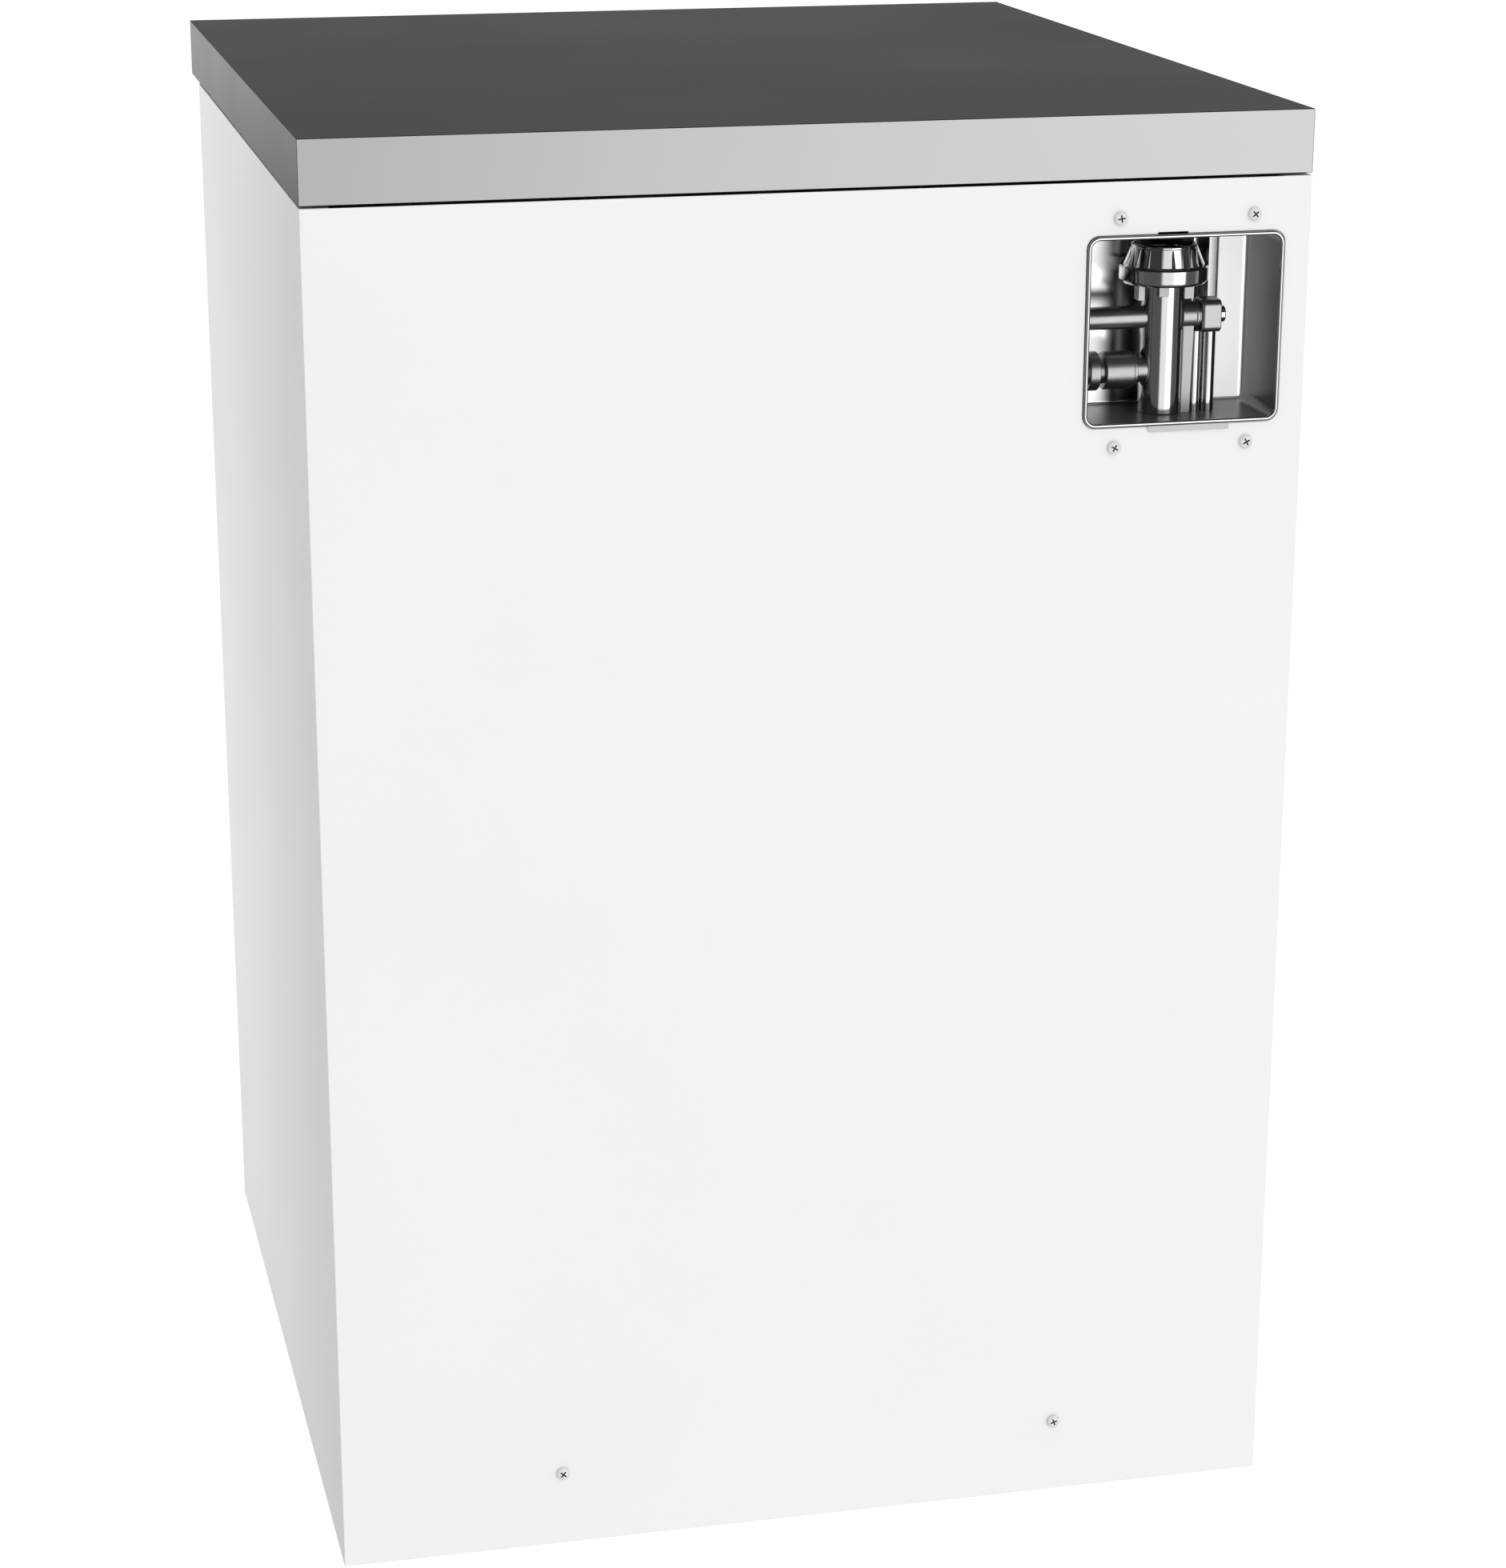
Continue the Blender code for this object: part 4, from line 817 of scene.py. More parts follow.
def make_coupler_body():
    """Valve body with its risers and web, the satin pipes, and the posts under the collar."""
    low, high, _ = extent("coupler_body")
    foot = low.z
    shoulder = COLLAR_Z + 0.0030
    axis = (COUPLER_X, COUPLER_Y, 0)
    radius = COUPLER_R
    main = turned("valve_body", axis,
                  [(0.0105, high.z), (0.0146, high.z), (0.0150, high.z - 0.0005), (0.0150, shoulder),
                   (radius, shoulder - 0.0012), (radius, foot + 0.0018), (radius - 0.0006, foot + 0.0006),
                   (radius - 0.0020, foot), (0.0020, foot), (0.0020, foot + 0.0040),
                   (0.0105, high.z - 0.030)], "Z", 96)
    web = start_box("web", (WEB_X[0], COUPLER_Y - 0.0018, foot + 0.0006),
                    (WEB_X[1], COUPLER_Y + 0.0062, CROSS_Z - 0.006))
    edit(web)
    choose(web, "VERT", lambda at, vert: at.x < -0.245 and at.z < foot + 0.01)
    bpy.ops.transform.translate(value=(0.0012, 0, 0))
    leave_edit()
    riser_top = CROSS_Z - 0.0095
    unite(main, *[turned("riser", (x, COUPLER_Y + 0.002, 0),
                         [(0, foot), (RISER_R - 0.0008, foot), (RISER_R, foot + 0.0008),
                          (RISER_R, riser_top), (0, riser_top)], "Z", 48) for x in RISER_X])
    finish(main, COUPLER, "cabinet", "coupler_finish", "coupler_body")

    pipe_end = -0.1600
    pipes = (
        start_cylinder("cross_pipe", ((COUPLER_X + pipe_end) / 2 + 0.005, COUPLER_Y, CROSS_Z), 0.0072,
                       pipe_end - COUPLER_X - 0.010, "X", 64),
        start_cylinder("drain_stub", (-0.2164, COUPLER_Y, DRAIN_Z), 0.0085, 0.0088, "X", 64),
        start_cylinder("valve_stub", (-0.2472, COUPLER_Y, CROSS_Z), 0.0085, 0.0116, "X", 64),
        turned("valve_ring", (-0.2500, COUPLER_Y, CROSS_Z),
               [(0, 0.0), (0.0085, 0.0), (0.0091, -0.0006), (0.0091, -0.0018), (0.0085, -0.0024),
                (0, -0.0024)], "X", 64),
    )
    finish(gather("coupler_pipes", *pipes), PIPE, "cabinet", "coupler_finish")

    front = COUPLER_Y + 0.0150
    posts = []
    for x_low, x_high, y_low, y_high, drop in (
            (-0.2163, -0.2121, COUPLER_Y - 0.004, COUPLER_Y + 0.0050, 0.0110),
            (-0.2487, -0.2423, COUPLER_Y - 0.004, COUPLER_Y + 0.0050, 0.0110),
            (-0.2278, -0.2214, front - 0.0030, front + 0.0022, 0.0070)):
        post = start_box("post", (x_low, y_low, COLLAR_Z - drop), (x_high, y_high, COLLAR_Z + 0.0040))
        posts.append(soften(post, 0.0003, 2))
    finish(gather("collar_posts", web, *posts), CAST, "cabinet", "coupler_finish")


def make_drain_connector():
    """Outline from the coupler's end to the wall: rim, groove, wide barrel, neck, collar and pipe."""
    start = extent("hose_connector")[1].x
    heights = [(0, 0.2117), (0.0104, 0.2117), (0.0112, 0.2112), (0.0112, 0.2096), (0.0118, 0.2092),
               (0.0120, 0.2086), (0.0120, 0.1913), (0.0113, 0.1905), (0.0084, 0.1905), (0.0080, 0.1898),
               (0.0080, 0.1874), (0.0084, 0.1868), (0.0121, 0.1868), (0.0125, 0.1863), (0.0125, 0.1805),
               (0.0121, 0.1800), (0.0085, 0.1800)]
    profile = [(radius, -start - height) for radius, height in heights] + [(0.0085, 0), (0, 0)]
    connector = turned("drain_connector", (start, COUPLER_Y, DRAIN_Z), profile, "X", 64)
    finish(connector, PIPE, "cabinet", "coupler_finish", "hose_connector")


def make_release_valve():
    """A rounded square housing, and the button in its bore."""
    low, high, _ = extent("release_valve")
    housing = start_box("release_housing", (low.x, COUPLER_Y - 0.0098, CROSS_Z - 0.0104),
                        (high.x, COUPLER_Y + 0.0098, CROSS_Z + 0.0104))
    round_corners(housing, "X", 0.0046, 6)
    edit(housing)
    bevel_where(housing, 0.0021, 3, lambda at, edge: at.x > high.x - 0.0001)
    bevel_where(housing, 0.0008, 3, lambda at, edge: at.x < low.x + 0.0001)
    leave_edit()
    carve(housing, start_cylinder("bore", (low.x, COUPLER_Y, CROSS_Z), 0.0059, 0.0200, "X", 48))
    finish(housing, PIPE, "cabinet", "coupler_finish", "release_valve")
    low, high, _ = extent("pressure_button")
    tip = low.x - high.x
    button = turned("release_button", (high.x, COUPLER_Y, CROSS_Z),
                    [(0, 0), (0.0055, 0), (0.0055, tip + 0.0008), (0.0051, tip + 0.0002), (0.0046, tip),
                     (0.0040, tip), (0.0036, tip + 0.0006), (0, tip + 0.0006)], "X", 48)
    finish(button, COUPLER, "valve_button", "coupler_finish", "pressure_button")


# ---------------------------------------------------------------- sheet metal and mouldings

PLAIN_NODES = (
    # node, body, slot, edge radius
    ("side_panel_left", "cabinet", "white_paint", 0.0004),
    ("side_panel_right", "cabinet", "white_paint", 0.0004),
    ("toe_kick", "cabinet", "white_paint", 0.0004),
    ("base_frame", "cabinet", "zinc_steel", 0.0004),
    ("tub", "cabinet", "tub_lining", 0.0012),
    ("door_panel", "door", "white_paint", 0.0004),
    ("door_liner", "door", "tub_lining", 0.0011),
    ("dispenser", "door", "grey_plastic", 0.0010),
    ("hinge_arm_left", "door", "zinc_steel", 0.0005),
    ("hinge_arm_right", "door", "zinc_steel", 0.0005),
    ("latch_handle", "latch", "grey_plastic", 0.0009),
    ("start_button", "start_push", "grey_plastic", 0.0007),
    ("cycle_button", "cycle_push", "grey_plastic", 0.0007),
    ("dispenser_lid", "detergent_lid", "blue_plastic", 0.0009),
    ("rinse_cap", "rinse_aid", "blue_plastic", 0.0006),
    ("rack_rail_left", "rails", "stainless", 0.0004),
    ("rack_rail_right", "rails", "stainless", 0.0004),
    ("drain_pump", "cabinet", "black_plastic", 0.0012),
    ("inlet_valve", "cabinet", "blue_plastic", 0.0010),
    ("pump_housing", "cabinet", "grey_plastic", 0.0010),
    ("wash_motor", "cabinet", "zinc_steel", 0.0012),
)


def make_console():
    """A hollow moulding with rounded long edges and windows for the latch and the buttons."""
    low, high, _ = extent("control_panel")
    wall = 0.0025
    console = start_box("console_moulding", low, high)
    round_corners(console, "X", 0.0045, 6)
    hollow = start_box("hollow", (low.x + wall, low.y + wall, low.z - 0.01),
                       (high.x - wall, high.y - wall, high.z - wall))
    latch_low, latch_high, _ = extent("latch_handle")
    window = start_box("latch_window", (-0.0735, low.y - 0.01, latch_low.z - 0.0015),
                       (0.0735, low.y + 0.01, latch_high.z + 0.0024))
    carve(console, hollow, window)
    for node in ("start_button", "cycle_button"):
        button = extent(node)[2]
        carve(console, start_box("button_window", (button.x - 0.0126, low.y - 0.01, button.z - 0.0066),
                                 (button.x + 0.0126, low.y + 0.01, button.z + 0.0066)))
    soften(console, 0.0005, 2)
    finish(console, WHITE_PLASTIC, "door", "white_plastic", "control_panel")


def soften_plain_nodes():
    for node, body, slot, width in PLAIN_NODES:
        softened_node(node, body, slot, width)


# ---------------------------------------------------------------- casters

def make_casters():
    """Rubber tread on a hub with five holes, fork with its edges rounded, ball race and axle nuts."""
    low, high, first = extent("caster_wheel_" + CASTERS[0])
    radius = (high.z - low.z) / 2
    half = (high.x - low.x) / 2
    tread = turned("tread", first,
                   [(0.0178, -half + 0.0008), (radius - 0.0032, -half + 0.0002),
                    (radius - 0.0016, -half + 0.0008), (radius - 0.0005, -half + 0.0022),
                    (radius, -half + 0.0050), (radius, half - 0.0050), (radius - 0.0005, half - 0.0022),
                    (radius - 0.0016, half - 0.0008), (radius - 0.0032, half - 0.0002),
                    (0.0178, half - 0.0008)], "X", 64)
    hub = turned("hub", first,
                 [(0.0034, -half), (0.0062, -half), (0.0066, -half + 0.0004), (0.0066, -0.0022),
                  (0.0148, -0.0022), (0.0156, -half + 0.0012), (0.0180, -half + 0.0010),
                  (0.0180, half - 0.0010), (0.0156, half - 0.0012), (0.0148, 0.0022), (0.0066, 0.0022),
                  (0.0066, half - 0.0004), (0.0062, half), (0.0034, half)], "X", 64)
    hole = start_cylinder("hole", (first.x, first.y, first.z + 0.0108), 0.0026, 0.03, "X", 24)
    carve(hub, *around(hole, first, "X", 5))
    wheels = [(CASTERS[0], (tread, hub))]
    for place in CASTERS[1:]:
        wheels.append((place, [twin(part, part.name + "_" + place) for part in (tread, hub)]))
    for place, parts in wheels:
        node = "caster_wheel_" + place
        for part, material in zip(parts, (TREAD, GREY_PLASTIC)):
            shift(part, extent(node)[2] - first)
            finish(part, material, "wheel_" + place, "caster_rubber", node)
    for place in CASTERS:
        node = "caster_fork_" + place
        softened_node(node, "caster_" + place, "zinc_steel", 0.0006)
        low, _, fork = extent(node)
        wheel = extent("caster_wheel_" + place)[2]
        nuts = [start_cylinder("nut", (wheel.x + side * 0.0140, wheel.y, wheel.z), 0.0052, 0.0030, "X", 6)
                for side in (-1, 1)]
        race = turned("race", (fork.x, low.y + 0.016, 0.0600),
                      [(0.0125, 0.0), (0.0156, 0.0), (0.0162, 0.0008), (0.0162, 0.0018), (0.0150, 0.0026),
                       (0.0125, 0.0026)], "Z", 48)
        trim = gather("caster_trim_" + place, race, *nuts)
        soften(trim, 0.0003, 2)
        finish(trim, STAINLESS, "caster_" + place, "zinc_steel")


# ---------------------------------------------------------------- door springs

def make_springs():
    """A close coil with a loop at its foot and a long straight hook up to the arm's pin."""
    coil_radius = 0.0036
    pitch = 0.00135
    for hand in ("left", "right"):
        low, high, (x, y, _) = extent("door_spring_" + hand)
        foot = low.z + 0.010
        turns = int((0.098 - foot) / pitch)
        top = foot + turns * pitch
        deselect()
        bpy.ops.mesh.primitive_circle_add(vertices=8, radius=SPRING_WIRE_R, location=(coil_radius, 0, 0),
                                          rotation=(math.pi / 2, 0, 0))
        coil = named("coil")
        modify(coil, "SCREW", axis="Z", angle=2 * math.pi, screw_offset=pitch, iterations=turns, steps=18,
               render_steps=18, use_normal_calculate=True)
        shift(coil, (x, y, foot))
        foot_loop = path("foot_loop", [
            (x, y + coil_radius, foot), (x, y + 0.0022, foot - 0.004), (x, y + 0.0022, low.z - 0.0034),
            (x, y - 0.0022, low.z - 0.0034), (x, y - 0.0022, low.z + 0.0025)], 0.0016)
        top_hook = path("top_hook", [
            (x, y + coil_radius, top), (x, y, top + 0.003), (x, y, high.z - 0.004),
            (x, y + 0.0022, high.z - 0.002), (x, y + 0.0022, high.z + 0.0038),
            (x, y - 0.0022, high.z + 0.0038), (x, y - 0.0022, high.z - 0.001)], 0.0014)
        spring = gather("door_spring_coil_" + hand, coil, wire(foot_loop, SPRING_WIRE_R),
                        wire(top_hook, SPRING_WIRE_R))
        bpy.ops.object.shade_smooth()
        spring.data.materials.clear()
        spring.data.materials.append(STAINLESS)
        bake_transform(spring)
        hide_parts("door_spring_" + hand)


# ---------------------------------------------------------------- racks

def wire_basket(low, high, columns, rows, rim_radius, wire_radius):
    """Rim, middle ring, and U-shaped wires both ways, inside the box it is given."""
    x0, x1 = low.x + rim_radius, high.x - rim_radius
    y0, y1 = low.y + rim_radius, high.y - rim_radius
    bottom = low.z + wire_radius
    top = high.z - rim_radius
    rings = []
    for height, radius in ((top, rim_radius), ((bottom + top) / 2 + 0.008, wire_radius)):
        ring = path("ring", [(x0, y0, height), (x1, y0, height), (x1, y1, height), (x0, y1, height)],
                    RACK_CORNER, closed=True)
        rings.append(wire(ring, radius))
    first = x0 + RACK_CORNER
    lengthwise = path("lengthwise", [(first, y0, top), (first, y0, bottom), (first, y1, bottom),
                                     (first, y1, top)], 0.016)
    row(lengthwise, columns, ((x1 - RACK_CORNER - first) / (columns - 1), 0, 0))
    first = y0 + RACK_CORNER
    floor = bottom + 0.0022
    crosswise = path("crosswise", [(x0, first, top), (x0, first, floor), (x1, first, floor),
                                   (x1, first, top)], 0.020)
    row(crosswise, rows, (0, (y1 - RACK_CORNER - first) / (rows - 1), 0))
    return rings + [wire(lengthwise, wire_radius), wire(crosswise, wire_radius)]


def tines(start, height, lean, columns, rows, radius):
    """Rows of upright loops that hold the dishes."""
    x, y, z = start
    half = TINE_PITCH * 0.24
    loop = path("tine", [(x - half, y, z), (x - half, y - lean, z + height),
                         (x + half, y - lean, z + height), (x + half, y, z)], TINE_PITCH * 0.2)
    row(loop, columns, (TINE_PITCH, 0, 0))
    row(loop, rows, (0, TINE_ROW_GAP, 0))
    return wire(loop, radius)


def make_lower_rack():
    """The wire basket with its tines, and four wheels on bent wire brackets."""
    low, high, _ = extent("lower_rack")
    parts = wire_basket(low, high, 19, 11, 0.0030, 0.0017)
    parts.append(tines((-0.208, -0.165, low.z + 0.004), 0.066, 0.010, 13, 4, 0.0015))
    finish(gather("lower_rack_wires", *parts), RACK_COAT, "lower_basket", "rack_coating", "lower_rack",
           angle=60)
    for side in (-1, 1):
        for y in (-0.170, 0.150):
            axle = Vector((side * 0.2440, y, 0.1712))
            x = axle.x - side * 0.003
            foot = low.z + 0.003
            bracket = wire(path("bracket", [(x, y - 0.016, foot), (x, y - 0.003, axle.z),
                                            (x, y + 0.003, axle.z), (x, y + 0.016, foot)], 0.0024), 0.0018)
            finish(bracket, RACK_COAT, "lower_basket", "rack_coating")
            wheel = turned("rack_wheel", axle,
                           [(0, -0.0030), (0.0045, -0.0030), (0.0050, -0.0024), (0.0120, -0.0016),
                            (0.0150, -0.0034), (0.0160, -0.0026), (0.0160, 0.0026), (0.0150, 0.0034),
                            (0.0120, 0.0016), (0.0050, 0.0024), (0.0045, 0.0030), (0, 0.0030)], "X", 48)
            finish(wheel, GREY_PLASTIC, "lower_basket", "rack_coating")


def make_upper_rack():
    """The wire basket with its tines, the holder of the spray arm, and four rollers on two stays."""
    low = Vector((-0.243, -0.235, 0.4815))
    high = Vector((0.243, 0.205, extent("upper_rack")[1].z))
    parts = wire_basket(low, high, 17, 10, 0.0028, 0.0016)
    for x in (-0.195, 0.091):
        parts.append(tines((x, -0.090, low.z + 0.004), 0.040, 0.006, 5, 3, 0.0014))
    finish(gather("upper_rack_wires", *parts), RACK_COAT, "upper_basket", "rack_coating", "upper_rack",
           angle=60)
    arm = extent("upper_spray_arm")[2]
    holder = turned("arm_holder", (arm.x, arm.y, 0.4655),
                    [(0, 0.0), (0.0040, 0.0), (0.0040, 0.0132), (0.0120, 0.0136), (0.0185, 0.0152),
                     (0.0190, 0.0162), (0.0190, 0.0196), (0.0160, 0.0204), (0, 0.0204)], "Z", 48)
    finish(holder, GREY_PLASTIC, "upper_basket", "rack_coating")
    for side in (-1, 1):
        for y in (0.030, 0.180):
            axle = (side * 0.2515, y, ROLLER_Z)
            roller = turned("rack_roller", axle,
                            [(0, -0.0098), (0.0036, -0.0098), (0.0036, -0.0030), (0.0078, -0.0030),
                             (0.0092, -0.0020), (0.0092, 0.0074), (0.0078, 0.0084), (0.0030, 0.0084),
                             (0.0026, 0.0096), (0, 0.0098)], "X", 40)
            if side < 0:
                turn_about(roller, axle, "Z", math.pi)
            finish(roller, GREY_PLASTIC, "upper_basket", "rack_coating")
    stay = wire(path("roller_stay", [(-0.2405, 0.005, ROLLER_Z), (-0.2405, 0.199, ROLLER_Z)]), 0.0016)
    finish(gather("roller_stays", stay, mirror_twin(stay, "stay")), RACK_COAT, "upper_basket",
           "rack_coating")


def make_cutlery_basket():
    """A slotted tray with dividers and a carrying handle."""
    low, high, middle = extent("cutlery_basket")
    basket = start_box("cutlery_tray", low, high)
    round_corners(basket, "Z", 0.010, 5)
    edit(basket)
    choose(basket, "FACE", lambda at, face: face.normal.z > 0.9)
    bpy.ops.mesh.inset(thickness=0.0026)
    bpy.ops.mesh.extrude_region_move(TRANSFORM_OT_translate={"value": (0, 0, low.z - high.z + 0.0030)})
    leave_edit()
    slot_foot = low.z + 0.014
    slot_top = low.z + 0.050
    tier_gap = 0.044
    side_slots = start_box("side_slots", (low.x - 0.01, low.y + 0.0150, slot_foot),
                           (high.x + 0.01, low.y + 0.0202, slot_top))
    row(side_slots, 18, (0, 0.0127, 0))
    row(side_slots, 2, (0, 0, tier_gap))
    end_slots = start_box("end_slots", (low.x + 0.0150, low.y - 0.01, slot_foot),
                          (low.x + 0.0202, high.y + 0.01, slot_top))
    row(end_slots, 5, (0.0118, 0, 0))
    row(end_slots, 2, (0, 0, tier_gap))
    floor_slots = start_box("floor_slots", (low.x + 0.012, low.y + 0.0140, low.z - 0.01),
                            (low.x + 0.036, low.y + 0.0190, low.z + 0.01))
    row(floor_slots, 2, (0.034, 0, 0))
    row(floor_slots, 21, (0, 0.0108, 0))
    carve(basket, side_slots, end_slots, floor_slots)
    divider = start_box("divider", (low.x + 0.0020, low.y + 0.0610, low.z + 0.0020),
                        (high.x - 0.0020, low.y + 0.0628, high.z - 0.012))
    row(divider, 3, (0, 0.0620, 0))
    finish(gather("cutlery_tray", basket, divider), BLUE_PLASTIC, "lower_basket", "blue_plastic",
           "cutlery_basket")
    shoulder = high.z + 0.022
    grip = high.z + 0.034
    handle = wire(path("basket_handle", [
        (middle.x, low.y + 0.0030, high.z - 0.006), (middle.x, low.y + 0.004, shoulder),
        (middle.x, middle.y - 0.035, grip), (middle.x, middle.y + 0.035, grip),
        (middle.x, high.y - 0.004, shoulder), (middle.x, high.y - 0.0030, high.z - 0.006)], 0.012),
        0.0034, 12)
    finish(handle, BLUE_PLASTIC, "lower_basket", "blue_plastic")


# ---------------------------------------------------------------- wash fittings

def spray_blade(name, centre, z, reach, hub):
    """A rounded blade that narrows outwards, its turned hub, and nozzles along both halves."""
    x, y = centre
    blade = start_box(name, (x - reach, y - BLADE_HALF_WIDTH, z),
                      (x + reach, y + BLADE_HALF_WIDTH, z + BLADE_THICKNESS))
    edit(blade)
    choose(blade, "EDGE", lambda at, edge: abs(at.x - x) < 0.001)
    bpy.ops.mesh.subdivide(number_cuts=7)
    choose(blade, "VERT", lambda at, vert: abs(at.x - x) > reach * 0.99)
    bpy.ops.transform.resize(value=(1, 0.56, 0.7), center_override=(x, y, z + 0.005))
    choose(blade, "VERT", lambda at, vert: abs(at.x - x) < 0.001)
    bpy.ops.transform.resize(value=(1, 1.06, 1), center_override=(x, y, z + 0.005))
    leave_edit()
    soften(blade, 0.0026, 4)
    nozzle = turned("nozzle", (x + reach * 0.30, y - 0.006, z + 0.0088),
                    [(0.0012, 0.0), (0.0044, 0.0), (0.0042, 0.0008), (0.0030, 0.0014), (0.0012, 0.0014)],
                    "Z", 24)
    nozzles = [nozzle]
    for part, offset in ((0.45, 0.012), (0.60, 0.0), (0.75, 0.012), (0.90, 0.0)):
        along = (reach * (part - 0.30), offset * (1 - part * 0.5), 0)
        nozzles.append(shift(twin(nozzle, "nozzle"), along))
    nozzles += [turn_about(twin(item, "nozzle"), (x, y, z), "Z", math.pi) for item in list(nozzles)]
    return gather(name, blade, hub, *nozzles)


def make_spray_arms():
    hub = turned("hub", (0, 0, 0.1700),
                 [(0.0152, 0.0), (0.0218, 0.0), (0.0230, 0.0012), (0.0230, 0.0190), (0.0222, 0.0210),
                  (0.0195, 0.0235), (0.0150, 0.0245), (0.0060, 0.0245), (0.0050, 0.0238), (0.0050, 0.0130),
                  (0.0152, 0.0100)], "Z", 64)
    arm = spray_blade("lower_wash_arm", (0, 0), 0.182, 0.225, hub)
    finish(arm, GREY_PLASTIC, "lower_spray", "grey_plastic", "lower_spray_arm")
    low, _, middle = extent("upper_spray_arm")
    hub = turned("hub", (middle.x, middle.y, low.z),
                 [(0.0044, 0.0050), (0.0044, 0.0178), (0.0130, 0.0178), (0.0150, 0.0160), (0.0150, 0.0012),
                  (0.0138, 0.0), (0.0060, 0.0), (0.0052, 0.0008)], "Z", 64)
    arm = spray_blade("upper_wash_arm", (middle.x, middle.y), 0.462, 0.200, hub)
    finish(arm, GREY_PLASTIC, "upper_spray", "grey_plastic", "upper_spray_arm")


def make_heating_element():
    """A ring of tube, open at the front, with both ends turned down."""
    radius = extent("heating_element")[1].x - ELEMENT_R
    deselect()
    bpy.ops.mesh.primitive_circle_add(vertices=72, radius=radius, location=(0, 0, 0.166))
    loop = named("element_loop")
    edit(loop)
    choose(loop, "VERT", lambda at, vert: at.y < -radius * 0.99 and abs(at.x) < 0.022)
    bpy.ops.mesh.delete(type="VERT")
    choose(loop, "VERT", lambda at, vert: len(vert.link_edges) == 1)
    bpy.ops.mesh.extrude_region_move(TRANSFORM_OT_translate={"value": (0, 0, -0.032)})
    leave_edit()
    finish(wire(loop, ELEMENT_R, 12), STAINLESS, "cabinet", "stainless", "heating_element")


def make_filter():
    """A double cup with slots all round."""
    low, high, middle = extent("filter_basket")
    top = high.z - low.z
    basket = turned("filter_cup", (middle.x, middle.y, low.z),
                    [(0.0485, top), (0.0500, top), (0.0500, 0.0010), (0.0490, 0.0), (0.0190, 0.0),
                     (0.0190, 0.0355), (0.0205, 0.0355), (0.0205, 0.0015), (0.0485, 0.0015)], "Z", 72)
    slot = start_box("slot", (0.044, -0.0012, low.z + 0.006), (0.054, 0.0012, low.z + 0.018))
    row(slot, 2, (0, 0, 0.017))
    carve(basket, gather("slots", *around(slot, middle, "Z", 30)))
    finish(basket, STAINLESS, "cabinet", "stainless", "filter_basket")


def make_float():
    """A domed cap on a thin stem."""
    low, high, middle = extent("overfill_float")
    dome = turned("float_dome", (middle.x, middle.y, low.z),
                  [(0, 0.0), (0.0036, 0.0), (0.0040, 0.0006), (0.0040, 0.0230), (0.0226, 0.0230),
                   (0.0235, 0.0238), (0.0235, 0.0400), (0.0228, 0.0432), (0.0206, 0.0462),
                   (0.0170, 0.0484), (0.0100, 0.0497), (0, high.z - low.z)], "Z", 64)
    finish(dome, GREY_PLASTIC, "float", "grey_plastic", "overfill_float")


# ---------------------------------------------------------------- assembly

make_worktop()
make_rear_sheet()
make_screws()
make_recess()
make_recess_trim()
make_collar()
make_coupler_body()
make_drain_connector()
make_release_valve()
make_console()
soften_plain_nodes()
make_casters()
make_springs()
make_lower_rack()
make_upper_rack()
make_cutlery_basket()
make_spray_arms()
make_heating_element()
make_filter()
make_float()


# ---------------------------------------------------------------- stage

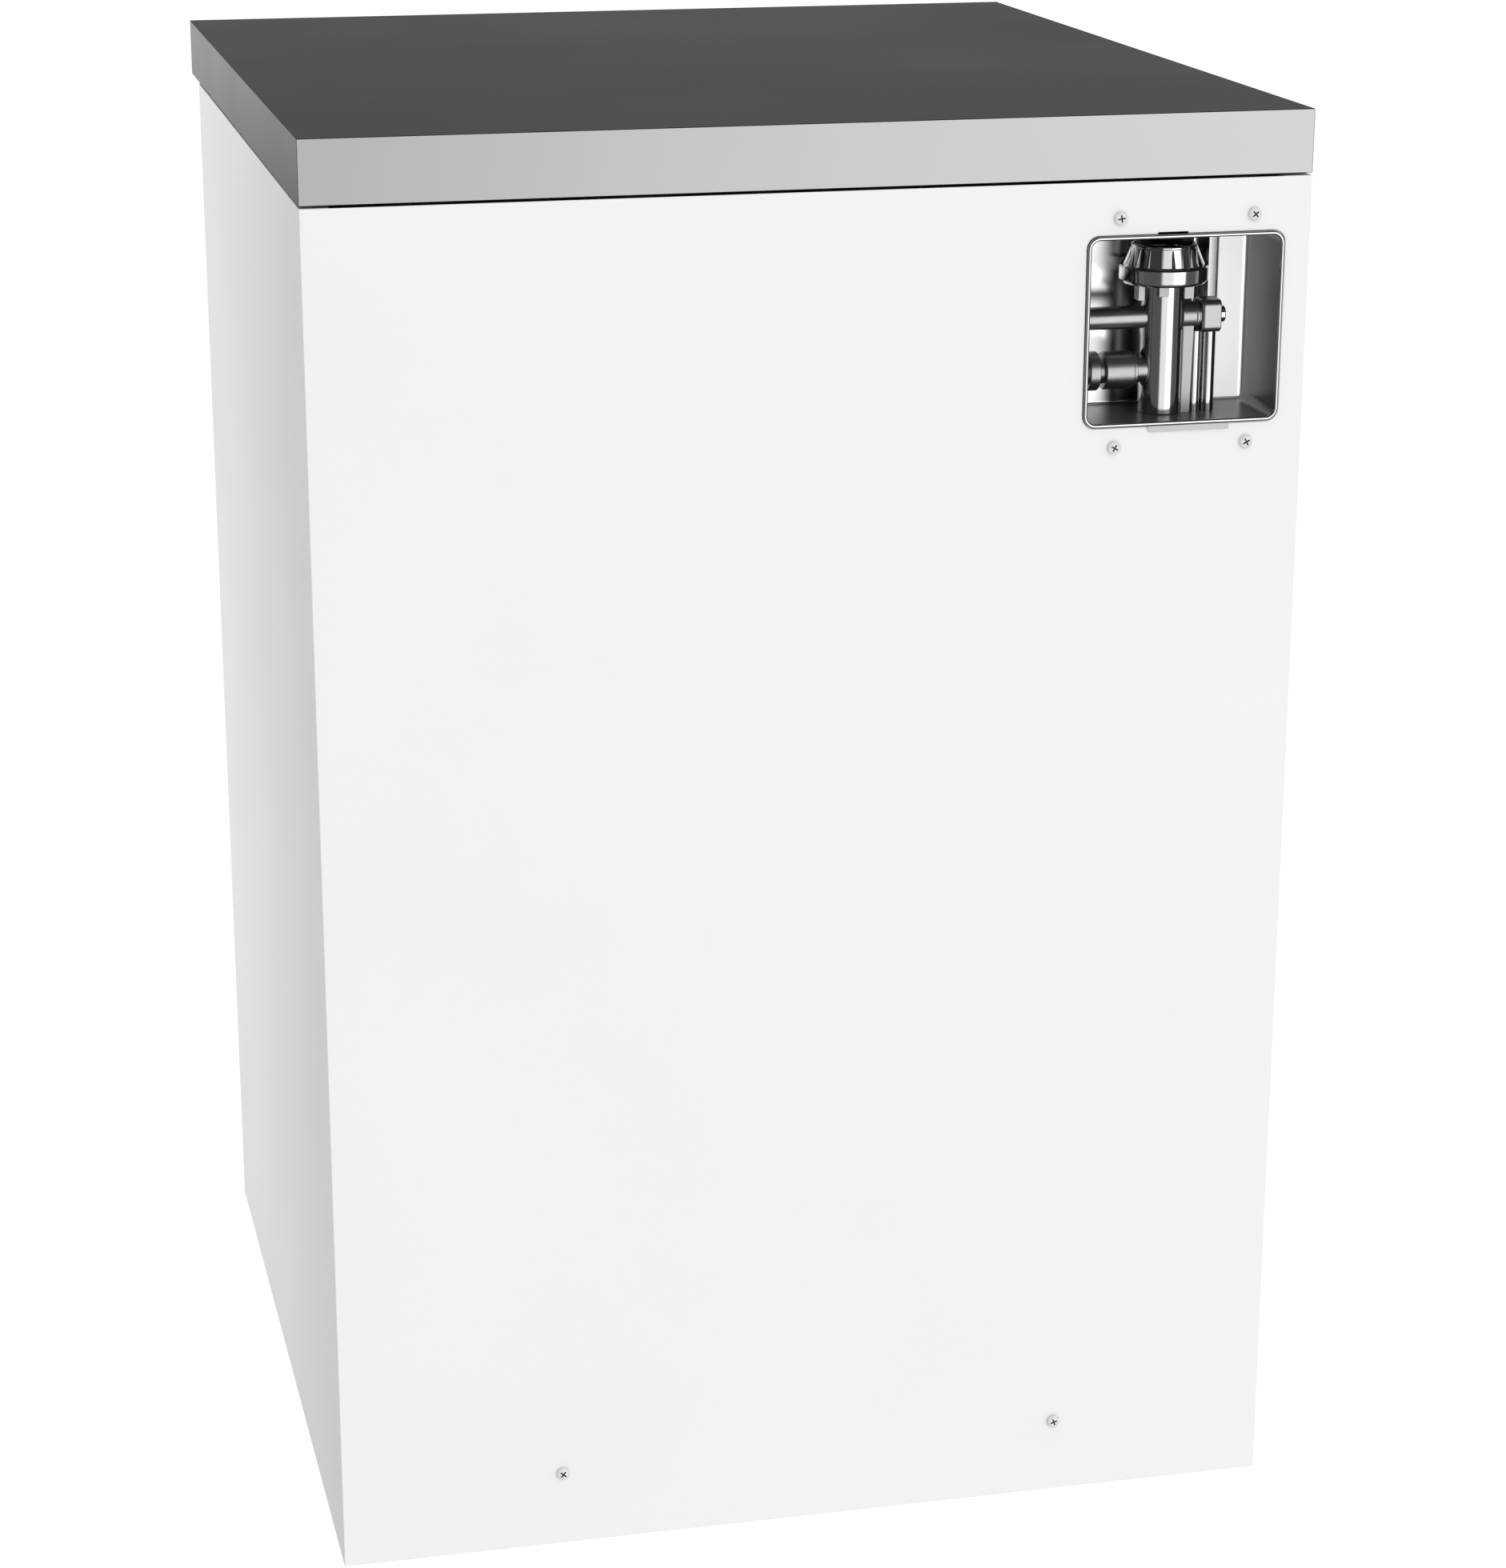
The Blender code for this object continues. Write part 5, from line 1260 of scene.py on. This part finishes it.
def make_world():
    """White for the camera, soft white for diffuse light, and for reflections a dark studio.

    The studio has one tall softbox at +Y, a panel on either side, and a faint glow at the horizon.
    """
    world = bpy.data.worlds.new("studio")
    bpy.context.scene.world = world
    world.use_nodes = True
    tree = world.node_tree
    tree.nodes.clear()
    ray = add_node(tree, "LightPath").outputs
    place = add_node(tree, "TexCoord")
    x, y, z = add_node(tree, "SeparateXYZ", {0: place.outputs["Generated"]}).outputs

    def maths(operation, first, second):
        return add_node(tree, "Math", {0: first, 1: second}, operation=operation).outputs[0]

    def total(*terms):
        result = terms[0]
        for term in terms[1:]:
            result = maths("ADD", result, term)
        return result

    def product(*terms):
        result = terms[0]
        for term in terms[1:]:
            result = maths("MULTIPLY", result, term)
        return result

    def ramp(value, start, end):
        """From 0 at start to 1 at end, with soft ends."""
        return add_node(tree, "MapRange", {"From Min": start, "From Max": end, "Value": value},
                        interpolation_type="SMOOTHSTEP").outputs[0]

    def band(value, low, high, soft):
        """1 where value lies between low and high, with soft ends."""
        return product(ramp(value, low - soft, low + soft), ramp(value, high + soft, high - soft))

    def sector(low, high, soft):
        """1 where the direction's azimuth, in degrees from +Y towards +X, lies between low and high."""
        return band(azimuth, math.radians(low), math.radians(high), math.radians(soft))

    azimuth = maths("ARCTAN2", x, y)
    behind = maths("MAXIMUM", product(y, -1.0), 0.0)
    softbox_strength = add_node(tree, "MapRange", {
        "From Min": math.radians(-4), "From Max": math.radians(-18), "To Min": 2.0, "To Max": 3.7,
        "Value": azimuth}).outputs[0]
    reflected = total(
        0.10,
        product(sector(-39, 22, 4), band(z, -0.60, 0.35, 0.04), softbox_strength),
        product(sector(95, 140, 12), band(z, -0.5, 0.5, 0.1), 0.7),
        product(sector(-140, -78, 10), band(z, -0.5, 0.6, 0.1), 0.9),
        product(band(z, 0.0, 0.10, 0.03), behind, 0.36),
        product(band(z, -0.13, -0.04, 0.04), behind, 0.66),
        product(band(z, -1.2, -0.03, 0.05), 0.12))
    diffuse = total(
        1.375,
        product(maths("MAXIMUM", x, 0.0), -0.77),
        product(band(z, 0.5, 2.0, 0.3), 0.16),
        product(behind, -0.42))
    for_gloss = add_node(tree, "Background", {"Strength": reflected}).outputs[0]
    soft = add_node(tree, "Background", {"Strength": diffuse}).outputs[0]
    plain = add_node(tree, "Background", {"Color": (1, 1, 1, 1), "Strength": 1.02}).outputs[0]
    lighting = add_node(tree, "MixShader", {0: ray["Is Glossy Ray"], 1: soft, 2: for_gloss}).outputs[0]
    surface = add_node(tree, "MixShader", {0: ray["Is Camera Ray"], 1: lighting, 2: plain}).outputs[0]
    add_node(tree, "OutputWorld", {"Surface": surface})


def area_light(name, place, target, size, watts):
    deselect()
    bpy.ops.object.light_add(type="AREA", location=place)
    light = bpy.context.active_object
    light.name = name
    light.data.shape = "RECTANGLE"
    light.data.size = size[0]
    light.data.size_y = size[1]
    light.data.energy = watts
    light.rotation_euler = (Vector(target) - Vector(place)).to_track_quat("-Z", "Y").to_euler()
    light.visible_glossy = False
    light.visible_camera = False
    return light


def make_lights():
    area_light("far_side_light", (1.15, -0.42, 0.45), (0.314, -0.30, 0.45), (0.4, 1.3), 5.0)
    bpy.context.scene.view_settings.view_transform = "Standard"


make_world()
make_lights()
